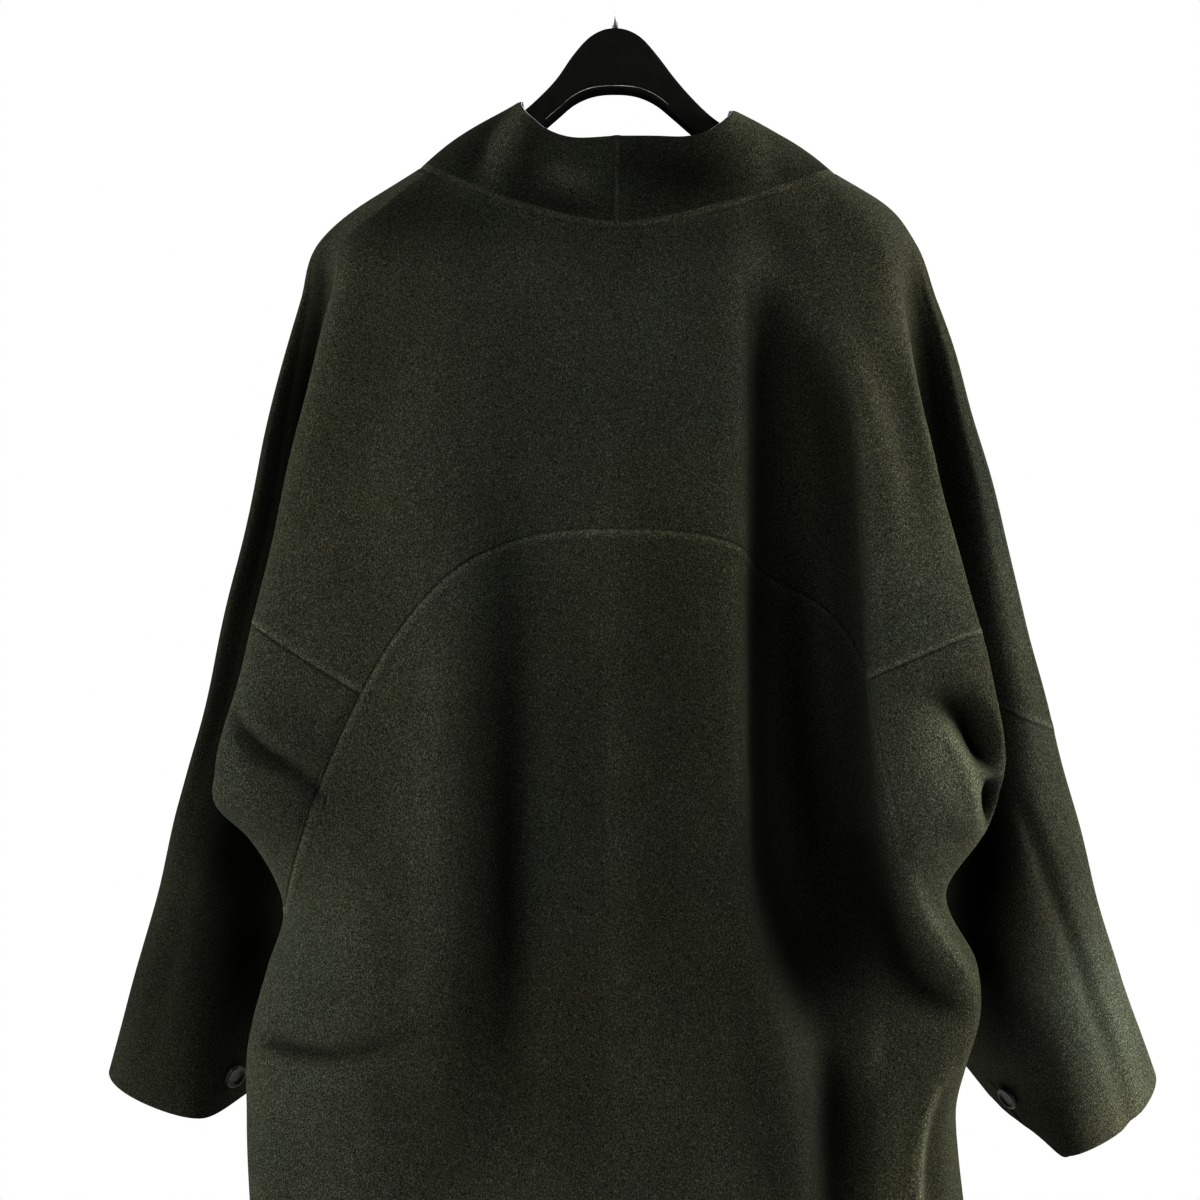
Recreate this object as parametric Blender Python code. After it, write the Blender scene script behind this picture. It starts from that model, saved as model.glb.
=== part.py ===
"""Reversible wool coat with batwing sleeves, hung on a moulded hanger."""

import math
from typing import NamedTuple

import bmesh
import bpy
import numpy as np
from mathutils import Vector

# Sizes in metres. +X is to the right seen from behind, +Y is toward the coat's front, +Z is up.
# The origin is the inside of the hook, where the hanger rests on a rail.
WALL = 0.0026
SEAM_GAP = 0.0004
HEM_HEIGHT = -1.210
SPINE_ACROSS = 0.001

# Back swells out below the neck and the front does the same.
BACK_TOP = 0.028
BACK_SWELL = 0.077
BACK_DROP = 0.28
FRONT_TOP = 0.060
FRONT_SWELL = 0.038
FRONT_DROP = 0.20
SHOULDER_HEIGHT = -0.167
FRONT_NECK_HEIGHT = -0.2535
BACK_NECK_HEIGHT = -0.2095
NECK_HALF = {"left": 0.131, "right": 0.151}
BACK_NECK_POWER = 1.7
FRONT_NECK_POWER = 2.0

# Front edges lap at the centre, the right one outside.
LAP_HALF = 0.030
EDGE_DEPTH = {"left": -0.003, "right": 0.010}
CHEST_ACROSS = 0.105
CHEST_DEPTH = {"left": -0.005, "right": 0.000}

# Sleeve front stands off the over-arm line by this much at the neck and below the chest.
FOREARM_TOP = 0.014
FOREARM_DEEP = 0.080
FOREARM_DROP = 0.33
FOREARM_POWER = 0.7
FOREARM_SHARE = 0.27
NEAR_SHARE = 0.42
NEAR_PUFF = 0.12

# Back seam is an arch, cubic from its top to the underarm.
ARCH_TOP = -0.411
ARCH_RISE = 0.233
ARCH_HALF = 0.216

# Underarm strip that parts the body from the sleeve, from its back edge to its front edge.
STRIP_ACROSS = 0.009
STRIP_DEPTH = 0.022
PINCH_REACH = 0.060
PINCH_THIN = 0.5
PINCH_SPREAD = 0.025
PINCH_GAP = 0.0008
PINCH_LIFT = {"torso": 1.0, "sleeve": 0.6, "body": 0.4}
STRIP_DROP = 0.005

# Lines of the back stand this far off the spine's depth.
BLADE_ACROSS = -0.085
BLADE_LIFT = 0.005
LIP_LIFT = 0.003
ARCH_SINK = 0.004

# Front neck curve hands over to the back one along this stretch of the shoulder.
SHOULDER_TURN = 3.5
SHOULDER_SPAN = 1.0

# Steps used to find the slope of the cloth, and the closest that two heights or points are told apart.
PLACE_STEP = 0.02
HEIGHT_STEP = 0.001
SAME_HEIGHT = 1e-6
SHORTEST = 1e-9
SETTLE_ROUNDS = 60


class Side(NamedTuple):
    """One level of a shoulder and sleeve: (across, depth) of each line down the cloth."""

    height: float
    outer: tuple
    ridge: tuple
    valley: tuple
    inlet: tuple


class Flank(NamedTuple):
    """One level of the body below the underarm."""

    height: float
    ridge: tuple
    seam: tuple


class Cuffward(NamedTuple):
    """One level of a sleeve below the underarm."""

    height: float
    inner: tuple
    near: tuple
    outer: tuple
    forearm: tuple


class Trough(NamedTuple):
    """One level of the deep fold to the right of the spine."""

    height: float
    lip_across: float
    floor_across: float
    floor_depth: float


class ArchLine(NamedTuple):
    """One level of the line that carries the arched seam's shoulders."""

    height: float
    left_across: float
    right_across: float
    right_depth: float


SIDES = {
    "left": (
        Side(-0.167, (-0.134, 0.000), (-0.119, -0.020), (-0.127, -0.014), (-0.118, 0.020)),
        Side(-0.190, (-0.173, 0.000), (-0.149, -0.024), (-0.161, -0.017), (-0.150, 0.026)),
        Side(-0.213, (-0.199, 0.004), (-0.176, -0.027), (-0.187, -0.018), (-0.170, 0.034)),
        Side(-0.254, (-0.214, 0.008), (-0.188, -0.035), (-0.197, -0.012), (-0.172, 0.048)),
        Side(-0.335, (-0.236, 0.018), (-0.207, -0.047), (-0.206, -0.004), (-0.170, 0.066)),
        Side(-0.430, (-0.260, 0.034), (-0.229, -0.058), (-0.222, 0.002), (-0.170, 0.078)),
        Side(-0.500, (-0.280, 0.048), (-0.244, -0.066), (-0.232, 0.004), (-0.170, 0.084)),
        Side(-0.570, (-0.299, 0.066), (-0.261, -0.070), (-0.238, 0.008), (-0.172, 0.084)),
        Side(-0.592, (-0.305, 0.073), (-0.261, -0.068), (-0.236, 0.012), (-0.174, 0.081)),
        Side(-0.615, (-0.312, 0.081), (-0.241, -0.061), (-0.226, 0.020), (-0.178, 0.075)),
        Side(-0.662, (-0.326, 0.100), (-0.220, -0.048), (-0.201, 0.040), (-0.192, 0.062)),
    ),
    "right": (
        Side(-0.167, (0.147, 0.000), (0.132, -0.020), (0.140, -0.014), (0.130, 0.020)),
        Side(-0.190, (0.185, 0.000), (0.160, -0.024), (0.172, -0.017), (0.160, 0.026)),
        Side(-0.213, (0.204, 0.004), (0.181, -0.027), (0.192, -0.018), (0.176, 0.034)),
        Side(-0.254, (0.220, 0.008), (0.189, -0.035), (0.203, -0.010), (0.176, 0.048)),
        Side(-0.335, (0.245, 0.018), (0.203, -0.047), (0.218, 0.000), (0.176, 0.066)),
        Side(-0.430, (0.273, 0.034), (0.228, -0.057), (0.234, 0.008), (0.178, 0.078)),
        Side(-0.500, (0.293, 0.048), (0.246, -0.063), (0.246, 0.012), (0.182, 0.084)),
        Side(-0.570, (0.314, 0.066), (0.255, -0.062), (0.246, 0.020), (0.186, 0.086)),
        Side(-0.612, (0.327, 0.080), (0.240, -0.056), (0.238, 0.028), (0.190, 0.086)),
        Side(-0.650, (0.340, 0.096), (0.213, -0.052), (0.228, 0.040), (0.194, 0.084)),
        Side(-0.700, (0.357, 0.114), (0.234, -0.052), (0.226, 0.050), (0.202, 0.080)),
        Side(-0.735, (0.371, 0.128), (0.237, -0.050), (0.218, 0.050), (0.209, 0.072)),
    ),
}

FLANKS = {
    "left": (
        Flank(-0.700, (-0.231, -0.045), (-0.216, 0.026)),
        Flank(-0.755, (-0.244, -0.040), (-0.234, 0.012)),
        Flank(-0.800, (-0.245, -0.034), (-0.240, 0.006)),
        Flank(-0.866, (-0.243, -0.030), (-0.240, 0.004)),
        Flank(-1.000, (-0.240, -0.028), (-0.238, 0.004)),
        Flank(-1.210, (-0.232, -0.026), (-0.230, 0.004)),
    ),
    "right": (
        Flank(-0.770, (0.222, -0.056), (0.224, 0.038)),
        Flank(-0.800, (0.207, -0.060), (0.228, 0.028)),
        Flank(-0.830, (0.200, -0.062), (0.232, 0.022)),
        Flank(-0.866, (0.200, -0.062), (0.236, 0.016)),
        Flank(-1.000, (0.206, -0.055), (0.238, 0.010)),
        Flank(-1.210, (0.214, -0.048), (0.236, 0.006)),
    ),
}

SLEEVES = {
    "left": (
        Cuffward(-0.700, (-0.207, 0.078), (-0.288, 0.074), (-0.338, 0.114), (-0.292, 0.186)),
        Cuffward(-0.750, (-0.228, 0.112), (-0.294, 0.082), (-0.354, 0.132), (-0.302, 0.196)),
        Cuffward(-0.805, (-0.255, 0.140), (-0.296, 0.090), (-0.372, 0.150), (-0.315, 0.206)),
        Cuffward(-0.860, (-0.270, 0.158), (-0.298, 0.100), (-0.387, 0.166), (-0.328, 0.216)),
    ),
    "right": (
        Cuffward(-0.770, (0.246, 0.098), (0.312, 0.080), (0.386, 0.140), (0.330, 0.206)),
        Cuffward(-0.812, (0.277, 0.130), (0.318, 0.084), (0.402, 0.156), (0.345, 0.214)),
        Cuffward(-0.846, (0.301, 0.124), (0.322, 0.086), (0.413, 0.168), (0.356, 0.222)),
        Cuffward(-0.880, (0.318, 0.138), (0.328, 0.094), (0.424, 0.180), (0.366, 0.230)),
    ),
}

TROUGHS = (
    Trough(-0.190, 0.070, 0.100, -0.030),
    Trough(-0.254, 0.080, 0.112, -0.035),
    Trough(-0.335, 0.081, 0.117, -0.036),
    Trough(-0.430, 0.081, 0.121, -0.037),
    Trough(-0.500, 0.080, 0.123, -0.036),
    Trough(-0.570, 0.081, 0.126, -0.034),
    Trough(-0.650, 0.085, 0.134, -0.036),
    Trough(-0.720, 0.098, 0.144, -0.048),
    Trough(-0.790, 0.112, 0.150, -0.066),
    Trough(-0.866, 0.118, 0.152, -0.078),
    Trough(-1.210, 0.122, 0.154, -0.092),
)

ARCH_LINES = (
    ArchLine(-0.167, -0.106, 0.108, -0.024),
    ArchLine(-0.213, -0.136, 0.134, -0.032),
    ArchLine(-0.254, -0.150, 0.147, -0.040),
    ArchLine(-0.430, -0.160, 0.160, -0.063),
    ArchLine(-0.518, -0.166, 0.164, -0.072),
    ArchLine(-0.612, -0.172, 0.175, -0.073),
    ArchLine(-0.662, -0.172, 0.187, -0.069),
    ArchLine(-0.735, -0.168, 0.192, -0.062),
    ArchLine(-0.800, -0.166, 0.176, -0.068),
    ArchLine(-0.866, -0.164, 0.174, -0.074),
    ArchLine(-1.210, -0.158, 0.178, -0.078),
)

# Lines down the cloth of one side, in order from the front edge round to the spine.
LINES = {
    "left": (
        "edge", "chest", "inlet", "forearm", "outer", "near",
        "valley", "ridge", "arch", "blade", "spine",
    ),
    "right": (
        "edge", "chest", "inlet", "forearm", "outer", "near",
        "valley", "ridge", "arch", "floor", "lip", "spine",
    ),
}
INLET, OUTER, VALLEY, RIDGE, ARCH = 2.0, 4.0, 6.0, 7.0, 8.0
STRIP_END = 1.0
SPLIT = {side: rows[-1].height for side, rows in SIDES.items()}
SPINE = {side: float(len(lines) - 1) for side, lines in LINES.items()}
OTHER = {"left": "right", "right": "left"}
SIGN = {"left": -1.0, "right": 1.0}


class SeamHeights(NamedTuple):
    """Height at which a sleeve seam crosses each line on its way to the arch."""

    inlet: float
    forearm: float
    outer: float
    near: float
    valley: float
    ridge: float


class CuffHeights(NamedTuple):
    """Height of a cuff on each line round the sleeve."""

    strip_end: float
    inlet: float
    forearm: float
    outer: float
    near: float
    inner: float


class Seat(NamedTuple):
    """Spot on the cloth: place between lines and height."""

    place: float
    height: float


SLEEVE_SEAM = {
    "left": SeamHeights(-0.552, -0.520, -0.501, -0.496, -0.488, -0.474),
    "right": SeamHeights(-0.566, -0.556, -0.549, -0.538, -0.514, -0.480),
}
CUFF = {
    "left": CuffHeights(-0.812, -0.804, -0.780, -0.804, -0.829, -0.812),
    "right": CuffHeights(-0.842, -0.826, -0.775, -0.805, -0.855, -0.842),
}
# Right arch below its shoulder, down to the underarm.
RIGHT_ARCH_FOOT = (
    Seat(8.0, -0.520),
    Seat(7.85, -0.600),
    Seat(7.7, -0.655),
    Seat(7.4, -0.694),
    Seat(7.0, -0.719),
    Seat(6.0, -0.735),
)
POUCH_CORNER = 7.4

# Grid counts: rows and columns of each stretch of cloth.
BODY_ROWS = 17
POUCH_ROWS = 7
YOKE_ROWS = 9
SLEEVE_ROWS = 9
FRONT_COLUMNS = 6
COLLAR_ROWS = 4
BODY_ROW_POWER = 1.35
POUCH_ROW_POWER = 1.3
HEM_SPREAD_POWER = 1.5

# Places of the pouch and tube columns, closer together round the ridge, valley and over-arm lines.
POUCH_STOPS = (8.0, 7.6, 7.3, 7.12, 6.96, 6.75, 6.4, 6.0)
TUBE_STOPS = (6.0, 5.7, 5.35, 5.0, 4.6, 4.25, 4.0, 3.6, 3.2, 2.8, 2.4, 2.0)
UPPER_STOPS = (2.0, 2.4, 2.8, 3.2, 3.6, 4.0)
BACK_STOPS = {
    "left": (8.0, 8.3, 8.65, 9.0, 9.33, 9.67, 10.0),
    "right": (8.0, 8.12, 8.3, 8.55, 8.8, 9.0, 9.25, 9.5, 9.75, 10.0, 10.5, 11.0),
}
POUCH_COLUMNS = len(POUCH_STOPS) - 1
TUBE_COLUMNS = len(TUBE_STOPS) - 1


def blend(places, values, at):
    """Smooth curve through rows: cubic pieces with three-point slopes."""
    places = np.asarray(places, float)
    values = np.asarray(values, float).reshape(len(places), -1)
    if places[0] > places[-1]:
        places, values = places[::-1], values[::-1]
    at = np.atleast_1d(np.asarray(at, float))
    step = np.diff(places)[:, None]
    rise = np.diff(values, axis=0) / step
    slope = np.empty_like(values)
    slope[0], slope[-1] = rise[0], rise[-1]
    slope[1:-1] = (rise[:-1] * step[1:] + rise[1:] * step[:-1]) / (step[1:] + step[:-1])
    cell = np.clip(np.searchsorted(places, at) - 1, 0, len(places) - 2)
    wide = step[cell]
    part = np.clip((at - places[cell])[:, None] / wide, -0.5, 1.5)
    return hermite(values[cell], slope[cell] * wide, values[cell + 1], slope[cell + 1] * wide, part)


def hermite(start, leave, end, arrive, part):
    """Cubic between two points with given end slopes."""
    square = part * part
    cube = square * part
    return (
        start * (2 * cube - 3 * square + 1)
        + leave * (cube - 2 * square + part)
        + end * (3 * square - 2 * cube)
        + arrive * (cube - square)
    )


def column(rows, name):
    """Pick one named column of a table."""
    return [getattr(row, name) for row in rows]


def swell(top, extra, drop, start, height):
    """Depth that grows downward and levels off."""
    return top + extra * (1.0 - np.exp((height - start) / drop))


def pair(across, depth):
    """Join across and depth into points."""
    across, depth = np.broadcast_arrays(np.asarray(across, float), np.asarray(depth, float))
    return np.stack([across, depth], axis=-1)


def torso_line(side, name, height):
    """Point of a named line above the underarm, at each height."""
    rows = SIDES[side]
    if name in ("outer", "ridge", "valley", "inlet"):
        below = FLANKS[side] if name == "ridge" else ()
        heights = column(rows, "height") + column(below, "height")
        return blend(heights, column(rows, name) + column(below, name), height)
    if name == "near":
        outer = torso_line(side, "outer", height)
        valley = torso_line(side, "valley", height)
        reach = valley - outer
        puff = -NEAR_PUFF * np.linalg.norm(reach, axis=1)
        return outer + NEAR_SHARE * reach + pair(0.0, puff)
    if name == "forearm":
        outer = torso_line(side, "outer", height)
        inlet = torso_line(side, "inlet", height)
        grown = np.clip((SHOULDER_HEIGHT - height) / FOREARM_DROP, 0.0, 1.0)
        deep = FOREARM_TOP + (FOREARM_DEEP - FOREARM_TOP) * grown ** FOREARM_POWER
        return pair(outer[:, 0] + FOREARM_SHARE * (inlet[:, 0] - outer[:, 0]), outer[:, 1] + deep)
    return centre_line(side, name, height)


def centre_line(side, name, height):
    """Point of a line of the body that runs from neck to hem."""
    back = -swell(BACK_TOP, BACK_SWELL, BACK_DROP, SHOULDER_HEIGHT, height)
    front = swell(FRONT_TOP, FRONT_SWELL, FRONT_DROP, FRONT_NECK_HEIGHT, height)
    if name == "spine":
        return pair(SPINE_ACROSS, back)
    if name == "blade":
        return pair(BLADE_ACROSS, back - BLADE_LIFT)
    if name == "lip":
        across = blend(column(TROUGHS, "height"), column(TROUGHS, "lip_across"), height)
        return pair(across[:, 0], back - LIP_LIFT)
    if name == "floor":
        floor = [(row.floor_across, row.floor_depth) for row in TROUGHS]
        return blend(column(TROUGHS, "height"), floor, height)
    if name == "arch" and side == "left":
        across = blend(column(ARCH_LINES, "height"), column(ARCH_LINES, "left_across"), height)
        return pair(across[:, 0], back + ARCH_SINK)
    if name == "arch":
        line = [(row.right_across, row.right_depth) for row in ARCH_LINES]
        return blend(column(ARCH_LINES, "height"), line, height)
    if name == "chest":
        return pair(SIGN[side] * CHEST_ACROSS, front + CHEST_DEPTH[side])
    return pair(-SIGN[side] * LAP_HALF, front + EDGE_DEPTH[side])


def body_line(side, name, height):
    """Point of a named line below the underarm on the body."""
    if name in ("valley", "inlet"):
        top = SIDES[side][-1]
        seam = column(FLANKS[side], "seam")
        heights = [top.height] + column(FLANKS[side], "height")
        if name == "valley":
            return blend(heights, [top.valley] + seam, height)
        front = [(across - SIGN[side] * STRIP_ACROSS, depth + STRIP_DEPTH) for across, depth in seam]
        return blend(heights, [top.inlet] + front, height)
    if name == "ridge":
        return torso_line(side, name, height)
    return centre_line(side, name, height)


def sleeve_line(side, name, height):
    """Point of a named line below the underarm on the sleeve."""
    rows = SLEEVES[side]
    split = np.array([SPLIT[side]])
    heights = [SPLIT[side]] + column(rows, "height")
    if name in ("valley", "inlet"):
        inner = column(rows, "inner")
        if name == "inlet":
            inner = [(across - SIGN[side] * STRIP_ACROSS, depth + STRIP_DEPTH) for across, depth in inner]
        return blend(heights, [tuple(torso_line(side, name, split)[0])] + inner, height)
    return blend(heights, [tuple(torso_line(side, name, split)[0])] + column(rows, name), height)


def outline(side, zone):
    """Lines met in order on a level cut, each as (place, side, name)."""
    lines = [(float(k), side, name) for k, name in enumerate(LINES[side])]
    if zone == "sleeve":
        return [(STRIP_END, side, "valley")] + lines[2:7]
    if zone == "body":
        lines = lines[:3] + lines[6:]
    mate = OTHER[side]
    return lines + [(SPINE[side] + 1.0, mate, LINES[mate][-2])]


LINE_OF = {"torso": torso_line, "body": body_line, "sleeve": sleeve_line}


def form(side, zone, place, height):
    """Points of the outer cloth at places between lines and at heights."""
    place = np.atleast_1d(np.asarray(place, float))
    height = np.broadcast_to(np.asarray(height, float), place.shape)
    order = outline(side, zone)
    stops = np.array([stop for stop, _, _ in order])
    points = [LINE_OF[zone](owner, name, height) for _, owner, name in order]
    if zone == "sleeve":
        place = STRIP_END + (place - STRIP_END) % (VALLEY - STRIP_END)
        points = [points[-2]] + points + [points[1]]
        names = [order[-2][2]] + [name for _, _, name in order] + [order[1][2]]
    else:
        points = [2 * points[0] - points[1]] + points
        names = [""] + [name for _, _, name in order]
        points.append(2 * points[-1] - points[-2])
        names.append("")
    reach = np.clip(np.abs(height - SPLIT[side]) / PINCH_REACH, 0.0, 1.0)
    ease = (reach * reach * (3 - 2 * reach))[:, None]
    slopes = []
    for k in range(1, len(points) - 1):
        before, after = points[k] - points[k - 1], points[k + 1] - points[k]
        back_step = np.linalg.norm(before, axis=1)[:, None] + SHORTEST
        fore_step = np.linalg.norm(after, axis=1)[:, None] + SHORTEST
        slope = (before / back_step * fore_step + after / fore_step * back_step) / (back_step + fore_step)
        slopes.append(slope * ease if names[k] in ("valley", "inlet") else slope)
    flat = np.zeros((len(place), 2))
    cell = np.clip(np.searchsorted(stops, place, side="right") - 1, 0, len(stops) - 2)
    for k in range(len(stops) - 1):
        mine = cell == k
        if not mine.any():
            continue
        start, end = points[k + 1][mine], points[k + 2][mine]
        wide = np.linalg.norm(end - start, axis=1)[:, None]
        part = ((place[mine] - stops[k]) / (stops[k + 1] - stops[k]))[:, None]
        flat[mine] = hermite(start, slopes[k][mine] * wide, end, slopes[k + 1][mine] * wide, part)
    return np.column_stack([flat, height])


def outward(side, zone, place, height):
    """Unit normals of the outer cloth, pointing out."""
    place = np.atleast_1d(np.asarray(place, float))
    height = np.broadcast_to(np.asarray(height, float), place.shape)
    along = form(side, zone, place + PLACE_STEP, height) - form(side, zone, place - PLACE_STEP, height)
    up = form(side, zone, place, height + HEIGHT_STEP) - form(side, zone, place, height - HEIGHT_STEP)
    normal = np.cross(along, up) * -SIGN[side]
    return normal / np.linalg.norm(normal, axis=1)[:, None]


def settle(side, zone, place, start, rule):
    """Height at which each line down the cloth meets a seam drawn as height over across."""
    height = np.full(len(place), start)
    for _ in range(SETTLE_ROUNDS):
        height = 0.5 * height + 0.5 * rule(form(side, zone, place, height)[:, 0])
    return height


def neck_height(side, place):
    """Neck seam height on each line."""
    def back_rule(across):
        share = np.clip(np.abs(across - SPINE_ACROSS) / NECK_HALF[side], 0.0, 1.1)
        return BACK_NECK_HEIGHT + (SHOULDER_HEIGHT - BACK_NECK_HEIGHT) * share ** BACK_NECK_POWER

    def front_rule(across):
        share = np.clip(np.abs(across) / NECK_HALF[side], 0.0, 1.1)
        return FRONT_NECK_HEIGHT + (SHOULDER_HEIGHT - FRONT_NECK_HEIGHT) * share ** FRONT_NECK_POWER

    place = np.atleast_1d(np.asarray(place, float))
    back = settle(side, "torso", place, SHOULDER_HEIGHT, back_rule)
    front = settle(side, "torso", place, SHOULDER_HEIGHT, front_rule)
    share = np.clip((place - SHOULDER_TURN) / SHOULDER_SPAN, 0.0, 1.0)
    return front + (back - front) * share


def arch_height(side, place):
    """Arched seam height on each line from the underarm to the spine."""
    def rule(across):
        share = np.abs(across - SPINE_ACROSS) / ARCH_HALF
        return ARCH_TOP - ARCH_RISE * share ** 3

    place = np.atleast_1d(np.asarray(place, float))
    height = settle(side, "torso", np.maximum(place, RIDGE), ARCH_TOP, rule)
    if side == "right":
        low = blend(column(RIGHT_ARCH_FOOT, "place"), column(RIGHT_ARCH_FOOT, "height"), place)[:, 0]
        shift = settle(side, "torso", np.array([ARCH]), ARCH_TOP, rule)[0] - RIGHT_ARCH_FOOT[0].height
        low = low + shift * np.clip(place - RIDGE, 0.0, 1.0)
        return np.where(place < ARCH, low, height)
    under = np.clip(RIDGE - place, 0.0, 1.0)
    return height + (SPLIT[side] - height) * under


def seam_height(side, place):
    """Sleeve seam height on each line from the inlet to the arch line."""
    heights = [*SLEEVE_SEAM[side], arch_height(side, [ARCH])[0]]
    return blend(np.arange(INLET, ARCH + 0.5), heights, place)[:, 0]


def cuff_height(side, place):
    """Cuff edge height on each line round the sleeve."""
    return blend(np.arange(STRIP_END, VALLEY + 0.5), CUFF[side], place)[:, 0]


def fan(start, end, count):
    """Evenly spaced values."""
    return np.linspace(start, end, count + 1)


def nearness(points):
    """How close points are to either underarm, from 0 far away to 1 at the underarm."""
    close = np.zeros(len(points))
    for rows in SIDES.values():
        corner = 0.5 * (np.array(rows[-1].valley) + np.array(rows[-1].inlet))
        away = np.linalg.norm(points - np.array([*corner, rows[-1].height]), axis=1)
        close = np.maximum(close, np.exp(-((away / PINCH_SPREAD) ** 2)))
    return close


class Sheet:
    """Grid of outer points and inward offsets for one panel, with a mask of the cells it keeps."""

    def __init__(self, columns, rows):
        self.outer = np.zeros((columns, rows, 3))
        self.inner = np.zeros((columns, rows, 3))
        self.keep = np.ones((columns - 1, rows - 1), bool)

    def fill(self, columns, rows, side, zone, place, height):
        """Set a block of the grid from places and heights on the form."""
        shape = place.shape
        points = form(side, zone, place.ravel(), height.ravel())
        normals = outward(side, zone, place.ravel(), height.ravel())
        close = nearness(points)[:, None]
        wall = WALL * (1.0 - PINCH_THIN * close)
        lift = close * PINCH_LIFT[zone]
        normals = normals * (1.0 - lift) + np.array([0.0, 0.0, -1.0]) * lift
        normals /= np.linalg.norm(normals, axis=1)[:, None]
        self.outer[columns, rows] = points.reshape(*shape, 3)
        self.inner[columns, rows] = (points - wall * normals).reshape(*shape, 3)


def body_rise():
    """Shares of the way from hem to arch, closer together toward the arch."""
    return 1.0 - (1.0 - fan(0.0, 1.0, BODY_ROWS)) ** BODY_ROW_POWER


def pouch_down():
    """Shares of the way from sleeve seam to underarm, closer together toward the underarm."""
    return 1.0 - (1.0 - fan(0.0, 1.0, POUCH_ROWS)) ** POUCH_ROW_POWER


def pouch_places(side):
    """Places and heights of the sleeve cloth between sleeve seam, arch and underarm."""
    top_place = np.array(POUCH_STOPS)
    across = (ARCH - top_place) / (ARCH - VALLEY)
    down = pouch_down()
    foot_place = POUCH_CORNER + (VALLEY - POUCH_CORNER) * across
    arch_place = ARCH + (POUCH_CORNER - ARCH) * down
    edges = {
        "top": (top_place, seam_height(side, top_place)),
        "foot": (foot_place, arch_height(side, foot_place)),
        "arch": (arch_place, arch_height(side, arch_place)),
    }
    top_valley = edges["top"][1][-1]
    edges["valley"] = (np.full_like(down, VALLEY), top_valley + (SPLIT[side] - top_valley) * down)
    result = []
    for k in range(2):
        top, foot, arch, valley = (edges[name][k] for name in ("top", "foot", "arch", "valley"))
        u, v = across[:, None], down[None, :]
        flat = (1 - v) * top[:, None] + v * foot[:, None] + (1 - u) * arch[None, :] + u * valley[None, :]
        high = (1 - u) * (1 - v) * top[0] + u * (1 - v) * top[-1]
        corner = high + (1 - u) * v * foot[0] + u * v * foot[-1]
        result.append(flat - corner)
    return result


def arch_places(side):
    """Places along the arch from the underarm to the spine, shared by every panel that meets it."""
    share = (ARCH - np.array(POUCH_STOPS)[::-1]) / (ARCH - VALLEY)
    foot = POUCH_CORNER + (VALLEY - POUCH_CORNER) * share
    flank = (ARCH + (POUCH_CORNER - ARCH) * pouch_down())[::-1]
    centre = np.array(BACK_STOPS[side])
    return np.concatenate([foot, flank[1:], centre[1:]])


def lower_zone(side, height):
    """Name of the body's form at a height."""
    return "torso" if height > SPLIT[side] + SAME_HEIGHT else "body"


def fill_by_zone(sheet, column_index, rows, side, places, heights):
    """Set part of one column, each row on the form that holds at its height."""
    places = np.broadcast_to(places, np.shape(heights))
    for row, place, height in zip(rows, places, heights):
        zone = lower_zone(side, height)
        sheet.fill(
            slice(column_index, column_index + 1), slice(row, row + 1), side, zone,
            np.array([[place]]), np.array([[height]]),
        )


def back_half(sheet, side, first, step):
    """Set the back panel's columns of one side, from the side seam to the spine."""
    places = arch_places(side)
    tops = arch_height(side, places)
    tops[0] = SPLIT[side]
    hems = np.linspace(VALLEY, SPINE[side], len(places))
    rise = body_rise()
    rows = range(BODY_ROWS + 1)
    strip = HEM_HEIGHT + (SPLIT[side] - HEM_HEIGHT) * rise
    fill_by_zone(sheet, first, rows, side, INLET, strip)
    middle = HEM_HEIGHT + (SPLIT[side] - STRIP_DROP - HEM_HEIGHT) * rise
    fill_by_zone(sheet, first + step, rows, side, 0.5 * (INLET + VALLEY), middle)
    for k, (place, hem, top) in enumerate(zip(places, hems, tops)):
        spread = hem + (place - hem) * rise ** HEM_SPREAD_POWER
        heights = HEM_HEIGHT + (top - HEM_HEIGHT) * rise
        fill_by_zone(sheet, first + step * (k + 2), rows, side, spread, heights)


def back_panel():
    """Lower back from hem to arch, side seam to side seam."""
    left, right = len(arch_places("left")), len(arch_places("right"))
    sheet = Sheet(left + right + 3, BODY_ROWS + 1)
    back_half(sheet, "left", 0, 1)
    back_half(sheet, "right", left + right + 2, -1)
    return sheet


def yoke_places(side):
    """Places across the yoke's lower edge from the over-arm line to the spine."""
    tube = np.array([stop for stop in TUBE_STOPS[::-1] if stop >= OUTER])
    pouch = np.array(POUCH_STOPS[::-1])
    centre = np.array(BACK_STOPS[side])
    return np.concatenate([tube, pouch[1:], centre[1:]])


def upper_grid(side, places, feet):
    """Places and heights from a lower edge up to the neck."""
    rise = fan(0.0, 1.0, YOKE_ROWS)[None, :]
    tops = neck_height(side, places)
    heights = feet[:, None] + (tops - feet)[:, None] * rise
    return np.broadcast_to(places[:, None], heights.shape).copy(), heights


def yoke():
    """Upper back with both shoulders, neck to arch and sleeve seams."""
    halves = {side: yoke_places(side) for side in LINES}
    total = len(halves["left"]) + len(halves["right"]) - 1
    sheet = Sheet(total, YOKE_ROWS + 1)
    for side, places in halves.items():
        feet = np.where(places < ARCH, seam_height(side, places), arch_height(side, places))
        place, height = upper_grid(side, places, feet)
        if side == "left":
            sheet.fill(slice(0, len(places)), slice(None), side, "torso", place, height)
        else:
            block = slice(total - len(places), total)
            sheet.fill(block, slice(None), side, "torso", place[::-1], height[::-1])
    return sheet


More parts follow.
